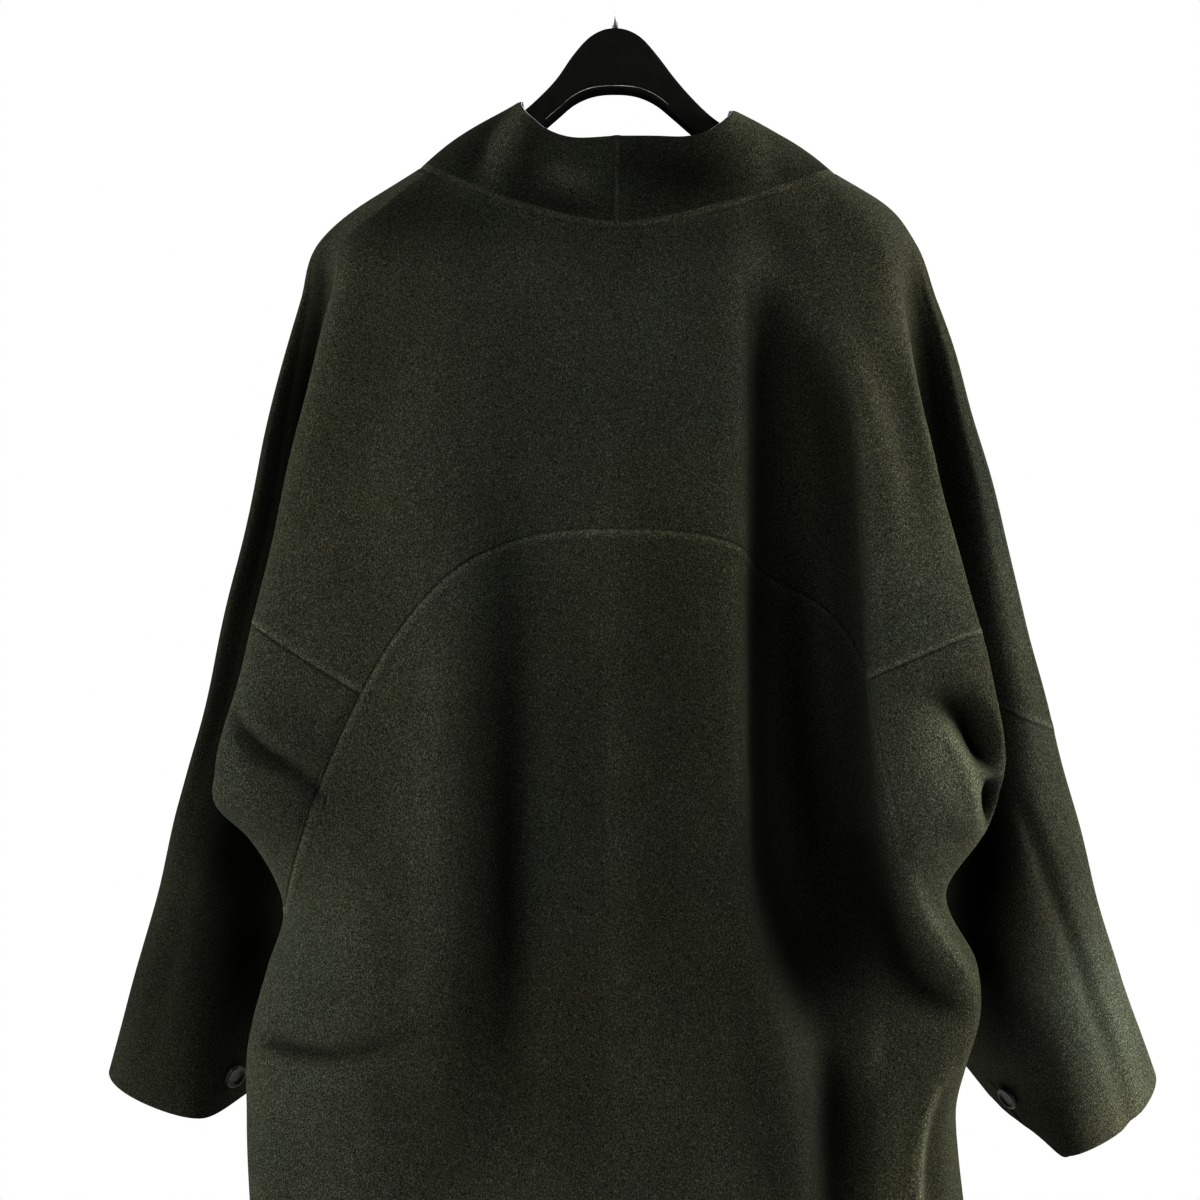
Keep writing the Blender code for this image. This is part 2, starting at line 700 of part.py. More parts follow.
def front(side):
    """Front from its edge to the side seam, armhole and over-arm line."""
    low = fan(0.0, INLET, FRONT_COLUMNS)
    places = np.concatenate([low, UPPER_STOPS[1:]])
    rows = BODY_ROWS + POUCH_ROWS + YOKE_ROWS + 1
    sheet = Sheet(len(places), rows)
    shoulder = seam_height(side, [INLET])[0]
    mid = BODY_ROWS + POUCH_ROWS
    feet = np.where(places <= INLET, shoulder, seam_height(side, places))
    place, height = upper_grid(side, places, feet)
    sheet.fill(slice(0, len(places)), slice(mid, rows), side, "torso", place, height)
    for k, line in enumerate(low):
        below = HEM_HEIGHT + (SPLIT[side] - HEM_HEIGHT) * body_rise()
        fill_by_zone(sheet, k, range(BODY_ROWS + 1), side, line, below)
        heights = (shoulder + (SPLIT[side] - shoulder) * pouch_down())[::-1][1:-1]
        fill_by_zone(sheet, k, range(BODY_ROWS + 1, mid), side, line, heights)
    sheet.keep[FRONT_COLUMNS:, :mid] = False
    return sheet


def sleeve(side):
    """Lower sleeve with its pouch, sleeve seam to cuff, closed by a strip under the arm."""
    tube = np.array(TUBE_STOPS)
    columns = POUCH_COLUMNS + TUBE_COLUMNS + 3
    rows = POUCH_ROWS + SLEEVE_ROWS + 1
    sheet = Sheet(columns, rows)
    place, height = pouch_places(side)
    sheet.fill(slice(0, POUCH_COLUMNS + 1), slice(0, POUCH_ROWS + 1), side, "torso", place, height)
    tops = seam_height(side, tube)
    down = pouch_down()[None, :]
    height = tops[:, None] + (SPLIT[side] - tops)[:, None] * down
    block = slice(POUCH_COLUMNS, POUCH_COLUMNS + TUBE_COLUMNS + 1)
    place = np.broadcast_to(tube[:, None], height.shape).copy()
    sheet.fill(block, slice(0, POUCH_ROWS + 1), side, "torso", place, height)
    lower = np.concatenate([tube, [0.5 * (INLET + STRIP_END), STRIP_END]])
    down = fan(0.0, 1.0, SLEEVE_ROWS)[None, :]
    tops = np.where(lower < INLET, SPLIT[side] - STRIP_DROP, SPLIT[side])
    height = tops[:, None] + (cuff_height(side, lower) - tops)[:, None] * down
    place = np.broadcast_to(lower[:, None], height.shape).copy()
    start = POUCH_ROWS
    sheet.fill(slice(POUCH_COLUMNS, columns), slice(start, rows), side, "sleeve", place, height)
    sheet.keep[:POUCH_COLUMNS, POUCH_ROWS:] = False
    sheet.keep[-2:, :POUCH_ROWS] = False
    return sheet



class CollarTop(NamedTuple):
    """Collar top edge above one place on the neck."""

    place: float
    across: float
    depth: float
    height: float


COLLAR_TOP = {
    "left": (
        CollarTop(0.0, 0.024, 0.058, -0.206),
        CollarTop(1.0, -0.040, 0.048, -0.180),
        CollarTop(2.0, -0.060, 0.028, -0.142),
        CollarTop(3.0, -0.063, 0.015, -0.126),
        CollarTop(4.0, -0.064, 0.002, -0.1205),
        CollarTop(5.0, -0.0635, -0.011, -0.1210),
        CollarTop(6.0, -0.061, -0.020, -0.126),
        CollarTop(7.0, -0.056, -0.024, -0.134),
        CollarTop(8.0, -0.047, -0.027, -0.142),
        CollarTop(9.0, -0.028, -0.030, -0.148),
        CollarTop(10.0, 0.001, -0.031, -0.147),
    ),
    "right": (
        CollarTop(0.0, -0.024, 0.070, -0.206),
        CollarTop(1.0, 0.045, 0.054, -0.180),
        CollarTop(2.0, 0.070, 0.030, -0.148),
        CollarTop(3.0, 0.077, 0.015, -0.131),
        CollarTop(4.0, 0.079, 0.002, -0.126),
        CollarTop(5.0, 0.0785, -0.011, -0.127),
        CollarTop(6.0, 0.075, -0.020, -0.132),
        CollarTop(7.0, 0.069, -0.024, -0.138),
        CollarTop(8.0, 0.061, -0.027, -0.144),
        CollarTop(9.0, 0.048, -0.029, -0.147),
        CollarTop(10.0, 0.028, -0.031, -0.147),
        CollarTop(11.0, 0.001, -0.031, -0.147),
    ),
}
COLLAR_MIDDLE = {"left": (-0.002, 0.012, 0.0), "right": (0.002, 0.012, 0.0)}
COLLAR_BOW = 0.004


def collar(side):
    """Half of the stand collar, from the spine seam to its front edge."""
    low = fan(0.0, INLET, FRONT_COLUMNS)
    places = np.concatenate([low, UPPER_STOPS[1:], yoke_places(side)[1:]])
    heights = neck_height(side, places)
    foot = form(side, "torso", places, heights)
    lean = outward(side, "torso", places, heights)
    rows = COLLAR_TOP[side]
    top = blend(column(rows, "place"), [row[1:] for row in rows], places)
    sheet = Sheet(len(places), COLLAR_ROWS + 1)
    middle = np.array(COLLAR_MIDDLE[side])
    for row, rise in enumerate(fan(0.0, 1.0, COLLAR_ROWS)):
        points = foot + (top - foot) * rise
        away = points - middle
        away[:, 2] = 0.0
        away /= np.linalg.norm(away, axis=1)[:, None]
        away = lean * (1 - rise) + away * rise
        away /= np.linalg.norm(away, axis=1)[:, None]
        points = points + away * COLLAR_BOW * 4 * rise * (1 - rise)
        sheet.outer[:, row] = points
        sheet.inner[:, row] = points - WALL * away
    return sheet


class Bar(NamedTuple):
    """One upright section of the hanger."""

    across: float
    top: float
    foot: float
    half_deep: float


# Hanger sections from the left tip over the hump to the right tip.
BARS = (
    Bar(-0.1870, -0.2105, -0.2185, 0.005),
    Bar(-0.1840, -0.2065, -0.2225, 0.009),
    Bar(-0.1600, -0.1905, -0.2115, 0.011),
    Bar(-0.1200, -0.1645, -0.1870, 0.012),
    Bar(-0.0800, -0.1380, -0.1610, 0.013),
    Bar(-0.0520, -0.1185, -0.1400, 0.014),
    Bar(-0.0385, -0.1040, -0.1285, 0.014),
    Bar(-0.0290, -0.0900, -0.1205, 0.014),
    Bar(-0.0175, -0.0770, -0.1150, 0.014),
    Bar(-0.0070, -0.0712, -0.1132, 0.013),
    Bar(0.0000, -0.0703, -0.1130, 0.013),
    Bar(0.0070, -0.0712, -0.1132, 0.013),
    Bar(0.0175, -0.0770, -0.1150, 0.014),
    Bar(0.0290, -0.0900, -0.1205, 0.014),
    Bar(0.0395, -0.1040, -0.1290, 0.014),
    Bar(0.0540, -0.1205, -0.1415, 0.014),
    Bar(0.0800, -0.1400, -0.1625, 0.013),
    Bar(0.1200, -0.1640, -0.1865, 0.012),
    Bar(0.1600, -0.1880, -0.2090, 0.011),
    Bar(0.1890, -0.2050, -0.2210, 0.009),
    Bar(0.1920, -0.2090, -0.2170, 0.005),
)
BAR_POINTS = 16
BAR_SQUARENESS = 0.65
HOOK_RADIUS = 0.0022
HOOK_BEND = 0.0170
HOOK_TIP_TURN = 205.0
HOOK_NECK_TURN = -55.0
HOOK_STEPS = 22
HOOK_FOOT = -0.0700
HOOK_STEM = ((0.0058, -0.0385), (0.0022, -0.0425), (0.0004, -0.0470), (0.0, -0.0520))
HOOK_ROUNDNESS = 2

# Cuff buttons.
BUTTON_AT = {"left": Seat(5.45, -0.799), "right": Seat(5.82, -0.818)}
BUTTON_RADIUS = 0.0088
BUTTON_THICK = 0.0040
BUTTON_RIM = 0.0012
BUTTON_OFF = 0.0012
BUTTON_SIDES = 32

# Colours and finishes.
WOOL_COLOUR = (0.020, 0.022, 0.014)
WOOL_ROUGHNESS = 0.9
BUTTON_COLOUR = (0.012, 0.012, 0.010)
BUTTON_ROUGHNESS = 0.35
HANGER_COLOUR = (0.008, 0.008, 0.008)
HANGER_ROUGHNESS = 0.4
HOOK_COLOUR = (0.6, 0.6, 0.6)
HOOK_ROUGHNESS = 0.2
SHARPEST_CORNER = 0.3


def rounded(value):
    """Square off a cosine or sine so that a ring becomes a rounded bar."""
    return math.copysign(abs(value) ** BAR_SQUARENESS, value)


def hanger(material, collection):
    """Moulded bar with a hump, skinned over its sections."""
    bar = bmesh.new()
    rings = []
    for k, section in enumerate(BARS):
        ends = k in (0, len(BARS) - 1)
        ring = bmesh.ops.create_circle(bar, cap_ends=ends, segments=BAR_POINTS, radius=1.0)["verts"]
        half = 0.5 * (section.top - section.foot)
        for vert in ring:
            depth = rounded(vert.co.x) * section.half_deep
            height = 0.5 * (section.top + section.foot) + rounded(vert.co.y) * half
            vert.co = Vector((section.across, depth, height))
        corners = set(ring)
        rings.append([edge for edge in bar.edges if edge.verts[0] in corners and edge.verts[1] in corners])
    for one, two in zip(rings, rings[1:]):
        bmesh.ops.bridge_loops(bar, edges=one + two)
    add_object("hanger", bar, material, collection)


def hook(material, collection):
    """Wire hook from its tip over the crown and down to the hump."""
    bend = HOOK_BEND + HOOK_RADIUS
    turns = np.radians(fan(HOOK_TIP_TURN, HOOK_NECK_TURN, HOOK_STEPS))
    path = [(bend * math.cos(turn), bend * math.sin(turn) - HOOK_BEND) for turn in turns]
    path += list(HOOK_STEM) + [(0.0, HOOK_FOOT)]
    wire = bpy.data.curves.new("hanger_hook", "CURVE")
    wire.dimensions = "3D"
    wire.bevel_depth = HOOK_RADIUS
    wire.bevel_resolution = HOOK_ROUNDNESS
    wire.use_fill_caps = True
    spline = wire.splines.new("POLY")
    spline.points.add(len(path) - 1)
    for point, (across, height) in zip(spline.points, path):
        point.co = (across, 0.0, height, 1.0)
    wire.materials.append(material)
    collection.objects.link(bpy.data.objects.new("hanger_hook", wire))


def button(side, material, collection):
    """Round button lying on the sleeve, with a raised rim."""
    place, height = BUTTON_AT[side]
    seat = Vector(form(side, "sleeve", place, height)[0])
    face = Vector(outward(side, "sleeve", place, height)[0])
    disc = bmesh.new()
    bmesh.ops.create_cone(
        disc, cap_ends=True, segments=BUTTON_SIDES,
        radius1=BUTTON_RADIUS, radius2=BUTTON_RADIUS, depth=BUTTON_THICK,
    )
    top = max(disc.faces, key=lambda cap: cap.calc_center_median().z)
    bmesh.ops.inset_individual(disc, faces=[top], thickness=BUTTON_RIM, depth=0.0)
    bmesh.ops.inset_individual(disc, faces=[top], thickness=BUTTON_RIM, depth=-0.5 * BUTTON_RIM)
    turn = face.to_track_quat("Z", "Y").to_matrix().to_4x4()
    turn.translation = seat + face * (BUTTON_OFF + 0.5 * BUTTON_THICK)
    bmesh.ops.transform(disc, matrix=turn, verts=disc.verts)
    add_object(f"{side}_button", disc, material, collection)


def paint(name, colour, roughness, metallic=0.0):
    """Principled material."""
    material = bpy.data.materials.new(name)
    material.use_nodes = True
    shader = material.node_tree.nodes["Principled BSDF"]
    shader.inputs["Base Color"].default_value = (*colour, 1.0)
    shader.inputs["Roughness"].default_value = roughness
    shader.inputs["Metallic"].default_value = metallic
    return material


def add_object(name, mesh_builder, material, collection):
    """Put a finished mesh in the coat's collection."""
    mesh = bpy.data.meshes.new(name)
    bmesh.ops.recalc_face_normals(mesh_builder, faces=mesh_builder.faces)
    mesh_builder.to_mesh(mesh)
    mesh_builder.free()
    mesh.materials.append(material)
    item = bpy.data.objects.new(name, mesh)
    collection.objects.link(item)
    return item


def pull_in_edges(grid, distance):
    """Draw the open edges of a sheet in by half a seam gap."""
    moves = {}
    for vert in grid.verts:
        sides = [edge for edge in vert.link_edges if len(edge.link_faces) == 1]
        if len(sides) != 2:
            continue
        pulls = []
        for edge in sides:
            along = (edge.verts[1].co - edge.verts[0].co).normalized()
            middle = edge.link_faces[0].calc_center_median() - edge.verts[0].co
            pulls.append((middle - along * middle.dot(along)).normalized())
        reach = distance + PINCH_GAP * nearness(np.array([vert.co]))[0]
        moves[vert] = (pulls[0] + pulls[1]) * reach / max(1.0 + pulls[0].dot(pulls[1]), SHARPEST_CORNER)
    for vert, move in moves.items():
        vert.co += move


def sew(name, sheet, collection):
    """Make a closed cloth wall from a sheet."""
    columns, rows = sheet.outer.shape[:2]
    grid = bmesh.new()
    bmesh.ops.create_grid(grid, x_segments=columns - 1, y_segments=rows - 1, size=0.5)
    cell = grid.verts.layers.int.new("cell")
    for vert in grid.verts:
        i = round((vert.co.x + 0.5) * (columns - 1))
        j = round((vert.co.y + 0.5) * (rows - 1))
        vert[cell] = i * rows + j
    spare = []
    for face in grid.faces:
        centre = face.calc_center_median()
        i = int((centre.x + 0.5) * (columns - 1))
        j = int((centre.y + 0.5) * (rows - 1))
        if not sheet.keep[i, j]:
            spare.append(face)
    bmesh.ops.delete(grid, geom=spare, context="FACES")
    outer = sheet.outer.reshape(-1, 3)
    depth = (sheet.inner - sheet.outer).reshape(-1, 3)
    for vert in grid.verts:
        vert.co = Vector(outer[vert[cell]])
    pull_in_edges(grid, 0.5 * SEAM_GAP)
    made = bmesh.ops.extrude_face_region(grid, geom=grid.faces[:])
    for vert in (item for item in made["geom"] if isinstance(item, bmesh.types.BMVert)):
        vert.co += Vector(depth[vert[cell]])
    return add_object(name, grid, paint(name, WOOL_COLOUR, WOOL_ROUGHNESS), collection)


def clear_scene():
    """Start from an empty scene."""
    for item in list(bpy.data.objects):
        bpy.data.objects.remove(item, do_unlink=True)


def main():
    """Build the coat and its hanger."""
    clear_scene()
    collection = bpy.data.collections.new("reversible_coat")
    bpy.context.scene.collection.children.link(collection)
    sew("back_panel", back_panel(), collection)
    sew("back_yoke", yoke(), collection)
    for side in LINES:
        sew(f"{side}_front", front(side), collection)
        sew(f"{side}_sleeve", sleeve(side), collection)
        sew(f"{side}_collar", collar(side), collection)
        button(side, paint(f"{side}_button", BUTTON_COLOUR, BUTTON_ROUGHNESS), collection)
    hanger(paint("hanger", HANGER_COLOUR, HANGER_ROUGHNESS), collection)
    hook(paint("hanger_hook", HOOK_COLOUR, HOOK_ROUGHNESS, 1.0), collection)


main()
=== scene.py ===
"""Dark olive reversible wool coat hung on a moulded hanger, dressed for its picture."""

import logging
import math
import sys
from dataclasses import dataclass, field
from enum import Enum
from typing import NamedTuple

import bmesh
import bpy
import numpy as np
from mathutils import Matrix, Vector
from mathutils.bvhtree import BVHTree


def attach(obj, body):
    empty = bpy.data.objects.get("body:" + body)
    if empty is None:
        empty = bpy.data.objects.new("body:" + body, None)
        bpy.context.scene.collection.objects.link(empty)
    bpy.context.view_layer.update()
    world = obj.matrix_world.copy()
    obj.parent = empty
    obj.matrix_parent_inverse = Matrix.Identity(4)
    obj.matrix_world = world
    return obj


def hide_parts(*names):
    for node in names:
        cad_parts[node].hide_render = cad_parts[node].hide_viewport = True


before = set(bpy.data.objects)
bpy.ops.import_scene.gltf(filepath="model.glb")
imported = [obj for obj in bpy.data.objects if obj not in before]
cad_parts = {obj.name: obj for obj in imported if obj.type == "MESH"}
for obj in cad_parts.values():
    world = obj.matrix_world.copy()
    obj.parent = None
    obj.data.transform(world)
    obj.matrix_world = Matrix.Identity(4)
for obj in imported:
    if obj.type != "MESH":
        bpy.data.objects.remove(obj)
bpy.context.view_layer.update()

# Sizes in metres, but for tables made by rows_of. +X is to the right seen from behind, +Y is toward the
# coat's front, +Z is up.
log = logging.getLogger("reversible_coat")
Array = np.ndarray
BODY = "root"
SHORTEST = 1e-9
SAME_HEIGHT = 1e-6
# How far a curve runs on past its table, in steps of the table.
OVERRUN = 0.5


class Hand(Enum):
    """Side of the coat, seen from behind."""

    LEFT = "left"
    RIGHT = "right"

    @property
    def sign(self) -> float:
        """Direction of the side across the coat."""
        return -1.0 if self is Hand.LEFT else 1.0

    @property
    def mate(self) -> "Hand":
        """The other side."""
        return Hand.RIGHT if self is Hand.LEFT else Hand.LEFT


class Zone(Enum):
    """Part of the form that a level cut belongs to."""

    TORSO = "torso"
    BODY = "body"
    SLEEVE = "sleeve"


class Side(NamedTuple):
    """One level of a shoulder and sleeve: (across, depth) of each line down the cloth."""

    height: float
    outer: tuple
    ridge: tuple
    valley: tuple
    inlet: tuple


class Flank(NamedTuple):
    """One level of the body below the underarm."""

    height: float
    ridge: tuple
    seam: tuple


class Cuffward(NamedTuple):
    """One level of a sleeve below the underarm."""

    height: float
    inner: tuple
    near: tuple
    outer: tuple
    forearm: tuple


class Trough(NamedTuple):
    """One level of the deep fold to the right of the spine."""

    height: float
    lip_across: float
    floor_across: float
    floor_depth: float


class ArchLine(NamedTuple):
    """One level of the line that carries the arched seam's shoulders."""

    height: float
    left_across: float
    right_across: float
    right_depth: float


class Seat(NamedTuple):
    """Spot on the cloth: place between lines and height."""

    place: float
    height: float


class CollarTop(NamedTuple):
    """Collar top edge above one line of the neck."""

    across: float
    depth: float
    height: float


class Bar(NamedTuple):
    """One upright section of the hanger."""

    across: float
    top: float
    foot: float
    half_deep: float


MM_IN_METRE = 1000.0
WHOLE_SHADE = 100.0


def metres(value: object) -> object:
    """Turn millimetres into metres, right through a nested row."""
    return tuple(metres(part) for part in value) if isinstance(value, tuple) else value / MM_IN_METRE


def rows_of(kind: type, *rows: tuple) -> tuple:
    """Named rows of a table that is written in millimetres, with any shade in hundredths.

    Args:
        kind: Kind of row.
        *rows: Values of each row, in the order of its columns.

    Returns:
        The rows, in metres and shares.
    """
    made = []
    for row in rows:
        values = [
            value / WHOLE_SHADE if name == "shade" else metres(value) for name, value in zip(kind._fields, row)
        ]
        made.append(kind(*values))
    return tuple(made)


NECK_HALF = {Hand.LEFT: 0.131, Hand.RIGHT: 0.151}
EDGE_DEPTH = {Hand.LEFT: -0.003, Hand.RIGHT: 0.010}
CHEST_DEPTH = {Hand.LEFT: -0.005, Hand.RIGHT: 0.000}
SIDES = {
    Hand.LEFT: rows_of(
        Side, (-167, (-134, 0), (-119, -20), (-127, -14), (-118, 20)),
        (-190, (-173, 0), (-149, -24), (-161, -17), (-150, 26)),
        (-213, (-199, 4), (-176, -27), (-187, -18), (-170, 34)),
        (-254, (-214, 8), (-188, -35), (-197, -12), (-172, 48)),
        (-335, (-236, 18), (-207, -47), (-206, -4), (-170, 66)),
        (-430, (-260, 34), (-229, -58), (-222, 2), (-170, 78)),
        (-500, (-280, 48), (-244, -66), (-232, 4), (-170, 84)),
        (-570, (-299, 66), (-261, -70), (-238, 8), (-172, 84)),
        (-592, (-305, 73), (-261, -68), (-236, 12), (-174, 81)),
        (-615, (-312, 81), (-241, -61), (-226, 20), (-178, 75)),
        (-662, (-326, 100), (-220, -48), (-201, 40), (-192, 62)),
    ),
    Hand.RIGHT: rows_of(
        Side, (-167, (147, 0), (132, -20), (140, -14), (130, 20)),
        (-190, (185, 0), (160, -24), (172, -17), (160, 26)),
        (-213, (204, 4), (181, -27), (192, -18), (176, 34)),
        (-254, (220, 8), (189, -35), (203, -10), (176, 48)),
        (-335, (245, 18), (203, -47), (218, 0), (176, 66)),
        (-430, (273, 34), (228, -57), (234, 8), (178, 78)),
        (-500, (293, 48), (246, -63), (246, 12), (182, 84)),
        (-570, (314, 66), (255, -62), (246, 20), (186, 86)),
        (-612, (327, 80), (240, -56), (238, 28), (190, 86)),
        (-650, (340, 96), (213, -52), (228, 40), (194, 84)),
        (-700, (357, 114), (234, -52), (226, 50), (202, 80)),
        (-735, (371, 128), (237, -50), (218, 50), (209, 72)),
    ),
}

FLANKS = {
    Hand.LEFT: rows_of(
        Flank, (-700, (-231, -45), (-216, 26)), (-755, (-244, -40), (-234, 12)),
        (-800, (-245, -34), (-240, 6)), (-866, (-243, -30), (-240, 4)), (-1000, (-240, -28), (-238, 4)),
        (-1210, (-232, -26), (-230, 4)),
    ),
    Hand.RIGHT: rows_of(
        Flank, (-770, (222, -56), (224, 38)), (-800, (207, -60), (228, 28)),
        (-830, (200, -62), (232, 22)), (-866, (200, -62), (236, 16)), (-1000, (206, -55), (238, 10)),
        (-1210, (214, -48), (236, 6)),
    ),
}

SLEEVES = {
    Hand.LEFT: rows_of(
        Cuffward, (-700, (-207, 78), (-288, 74), (-338, 114), (-292, 186)),
        (-750, (-228, 112), (-294, 82), (-354, 132), (-302, 196)),
        (-805, (-255, 140), (-296, 90), (-372, 150), (-315, 206)),
        (-860, (-270, 158), (-298, 100), (-387, 166), (-328, 216)),
    ),
    Hand.RIGHT: rows_of(
        Cuffward, (-770, (246, 98), (312, 80), (386, 140), (330, 206)),
        (-812, (277, 130), (318, 84), (402, 156), (345, 214)),
        (-846, (301, 124), (322, 86), (413, 168), (356, 222)),
        (-880, (318, 138), (328, 94), (424, 180), (366, 230)),
    ),
}

TROUGHS = rows_of(
    Trough, (-190, 70, 100, -30), (-254, 80, 112, -35), (-335, 81, 117, -36), (-430, 81, 121, -37),
    (-500, 80, 123, -36), (-570, 81, 126, -34), (-650, 85, 134, -36), (-720, 98, 144, -48),
    (-790, 112, 150, -66), (-866, 118, 152, -78), (-1210, 122, 154, -92),
)

ARCH_LINES = rows_of(
    ArchLine, (-167, -106, 108, -24), (-213, -136, 134, -32), (-254, -150, 147, -40),
    (-430, -160, 160, -63), (-518, -166, 164, -72), (-612, -172, 175, -73), (-662, -172, 187, -69),
    (-735, -168, 192, -62), (-800, -166, 176, -68), (-866, -164, 174, -74), (-1210, -158, 178, -78),
)

# Lines down the cloth of one side, in order from the front edge round to the spine.
ARM_LINES = ("edge", "chest", "inlet", "forearm", "outer", "near", "valley", "ridge", "arch")
LINES = {
    Hand.LEFT: ARM_LINES + ("blade", "spine"),
    Hand.RIGHT: ARM_LINES + ("floor", "lip", "spine"),
}
INLET, OUTER, VALLEY, RIDGE, ARCH = 2.0, 4.0, 6.0, 7.0, 8.0
STRIP_END = 1.0
SPLIT = {hand: rows[-1].height for hand, rows in SIDES.items()}
SPINE = {hand: float(len(lines) - 1) for hand, lines in LINES.items()}
# Heights of the sleeve seam on the lines from the inlet to the ridge, and of the cuff round the sleeve.
SLEEVE_SEAM = {
    Hand.LEFT: metres((-552, -520, -501, -496, -488, -474)),
    Hand.RIGHT: metres((-566, -556, -549, -538, -514, -480)),
}
CUFF = {
    Hand.LEFT: metres((-812, -804, -780, -804, -829, -812)),
    Hand.RIGHT: metres((-842, -826, -775, -805, -855, -842)),
}
# Right arch below its shoulder, down to the underarm.
RIGHT_ARCH_FOOT = (
    Seat(8.0, -0.520), Seat(7.85, -0.600), Seat(7.7, -0.655),
    Seat(7.4, -0.694), Seat(7.0, -0.719), Seat(6.0, -0.735),
)
POUCH_CORNER = 7.4

# Places of the pouch and tube columns, closer together round the ridge, valley and over-arm lines.
POUCH_STOPS = (8.0, 7.6, 7.3, 7.12, 6.96, 6.75, 6.4, 6.0)
TUBE_STOPS = (6.0, 5.7, 5.35, 5.0, 4.6, 4.25, 4.0, 3.6, 3.2, 2.8, 2.4, 2.0)
UPPER_STOPS = (2.0, 2.4, 2.8, 3.2, 3.6, 4.0)
BACK_STOPS = {
    Hand.LEFT: (8.0, 8.3, 8.65, 9.0, 9.33, 9.67, 10.0),
    Hand.RIGHT: (8.0, 8.12, 8.3, 8.55, 8.8, 9.0, 9.25, 9.5, 9.75, 10.0, 10.5, 11.0),
}

COLLAR_TOP = {
    Hand.LEFT: rows_of(
        CollarTop, (24, 58, -206), (-40, 48, -180), (-60, 28, -142), (-63, 15, -126), (-64, 2, -120.5),
        (-63.5, -11, -121), (-61, -20, -126), (-56, -24, -134), (-47, -27, -142), (-28, -30, -148),
        (1, -31, -147),
    ),
    Hand.RIGHT: rows_of(
        CollarTop, (-24, 70, -206), (45, 54, -180), (70, 30, -148), (77, 15, -131), (79, 2, -126),
        (78.5, -11, -127), (75, -20, -132), (69, -24, -138), (61, -27, -144), (48, -29, -147),
        (28, -31, -147), (1, -31, -147),
    ),
}
COLLAR_MIDDLE = {Hand.LEFT: (-0.002, 0.012, 0.0), Hand.RIGHT: (0.002, 0.012, 0.0)}
COLLAR_BOW = 0.004

# Hanger sections from the left tip over the hump to the right tip.
BARS = rows_of(
    Bar, (-187, -210.5, -218.5, 5), (-184, -206.5, -222.5, 9), (-160, -190.5, -211.5, 11),
    (-120, -164.5, -187, 12), (-80, -138, -161, 13), (-52, -118.5, -140, 14), (-38.5, -104, -128.5, 14),
    (-29, -90, -120.5, 14), (-17.5, -77, -115, 14), (-7, -71.2, -113.2, 13), (0, -70.3, -113, 13),
    (7, -71.2, -113.2, 13), (17.5, -77, -115, 14), (29, -90, -120.5, 14), (39.5, -104, -129, 14),
    (54, -120.5, -141.5, 14), (80, -140, -162.5, 13), (120, -164, -186.5, 12), (160, -188, -209, 11),
    (189, -205, -221, 9), (192, -209, -217, 5),
)

BUTTON_AT = {Hand.LEFT: Seat(5.45, -0.799), Hand.RIGHT: Seat(5.82, -0.818)}


def hermite(start: Array, leave: Array, end: Array, arrive: Array, part: Array) -> Array:
    """Cubic between two points with given end slopes.

    Args:
        start: Points at the start of each piece.
        leave: Slopes there.
        end: Points at the end of each piece.
        arrive: Slopes there.
        part: Share of the way along each piece.

    Returns:
        Points of the curve.
    """
    square = part * part
    cube = square * part
    return (
        start * (2 * cube - 3 * square + 1)
        + leave * (cube - 2 * square + part)
        + end * (3 * square - 2 * cube)
        + arrive * (cube - square)
    )


def blend(places: list, values: list, at: Array) -> Array:
    """Smooth curve through table rows: cubic pieces with three-point slopes.

    Args:
        places: Where each row stands.
        values: What each row holds.
        at: Where the curve is wanted.

    Returns:
        One row of values for each place asked for.
    """
    places = np.asarray(places, float)
    values = np.asarray(values, float).reshape(len(places), -1)
    if places[0] > places[-1]:
        places, values = places[::-1], values[::-1]
    at = np.atleast_1d(np.asarray(at, float))
    step = np.diff(places)[:, None]
    rise = np.diff(values, axis=0) / step
    slope = np.empty_like(values)
    slope[0], slope[-1] = rise[0], rise[-1]
    slope[1:-1] = (rise[:-1] * step[1:] + rise[1:] * step[:-1]) / (step[1:] + step[:-1])
    cell = np.clip(np.searchsorted(places, at) - 1, 0, len(places) - 2)
    wide = step[cell]
    part = np.clip((at - places[cell])[:, None] / wide, -OVERRUN, 1.0 + OVERRUN)
    return hermite(values[cell], slope[cell] * wide, values[cell + 1], slope[cell + 1] * wide, part)


def column(rows: tuple, name: str) -> list:
    """Pick one named column of a table."""
    return [getattr(row, name) for row in rows]


def pair(across: Array, depth: Array) -> Array:
    """Join across and depth into points."""
    across, depth = np.broadcast_arrays(np.asarray(across, float), np.asarray(depth, float))
    return np.stack([across, depth], axis=-1)


def fan(start: float, end: float, count: int) -> Array:
    """Evenly spaced values."""
    return np.linspace(start, end, count + 1)


def refine(stops: tuple, times: int) -> Array:
    """Split each stretch between stops into equal steps.

    Args:
        stops: Values in order.
        times: Steps in each stretch.

    Returns:
        The stops and the values between them.
    """
    spots = np.arange(len(stops), dtype=float)
    return np.interp(fan(0.0, len(stops) - 1.0, times * (len(stops) - 1)), spots, np.asarray(stops, float))


def unit(vectors: Array) -> Array:
    """Scale vectors to a length of one."""
    return vectors / (np.linalg.norm(vectors, axis=-1, keepdims=True) + SHORTEST)


def bow(share: Array) -> Array:
    """Rise from 0 to 1 half way, and back."""
    return 4.0 * share * (1.0 - share)


def smooth_step(share: Array) -> Array:
    """Ease from 0 to 1 with level ends."""
    share = np.clip(share, 0.0, 1.0)
    return share * share * (3.0 - 2.0 * share)


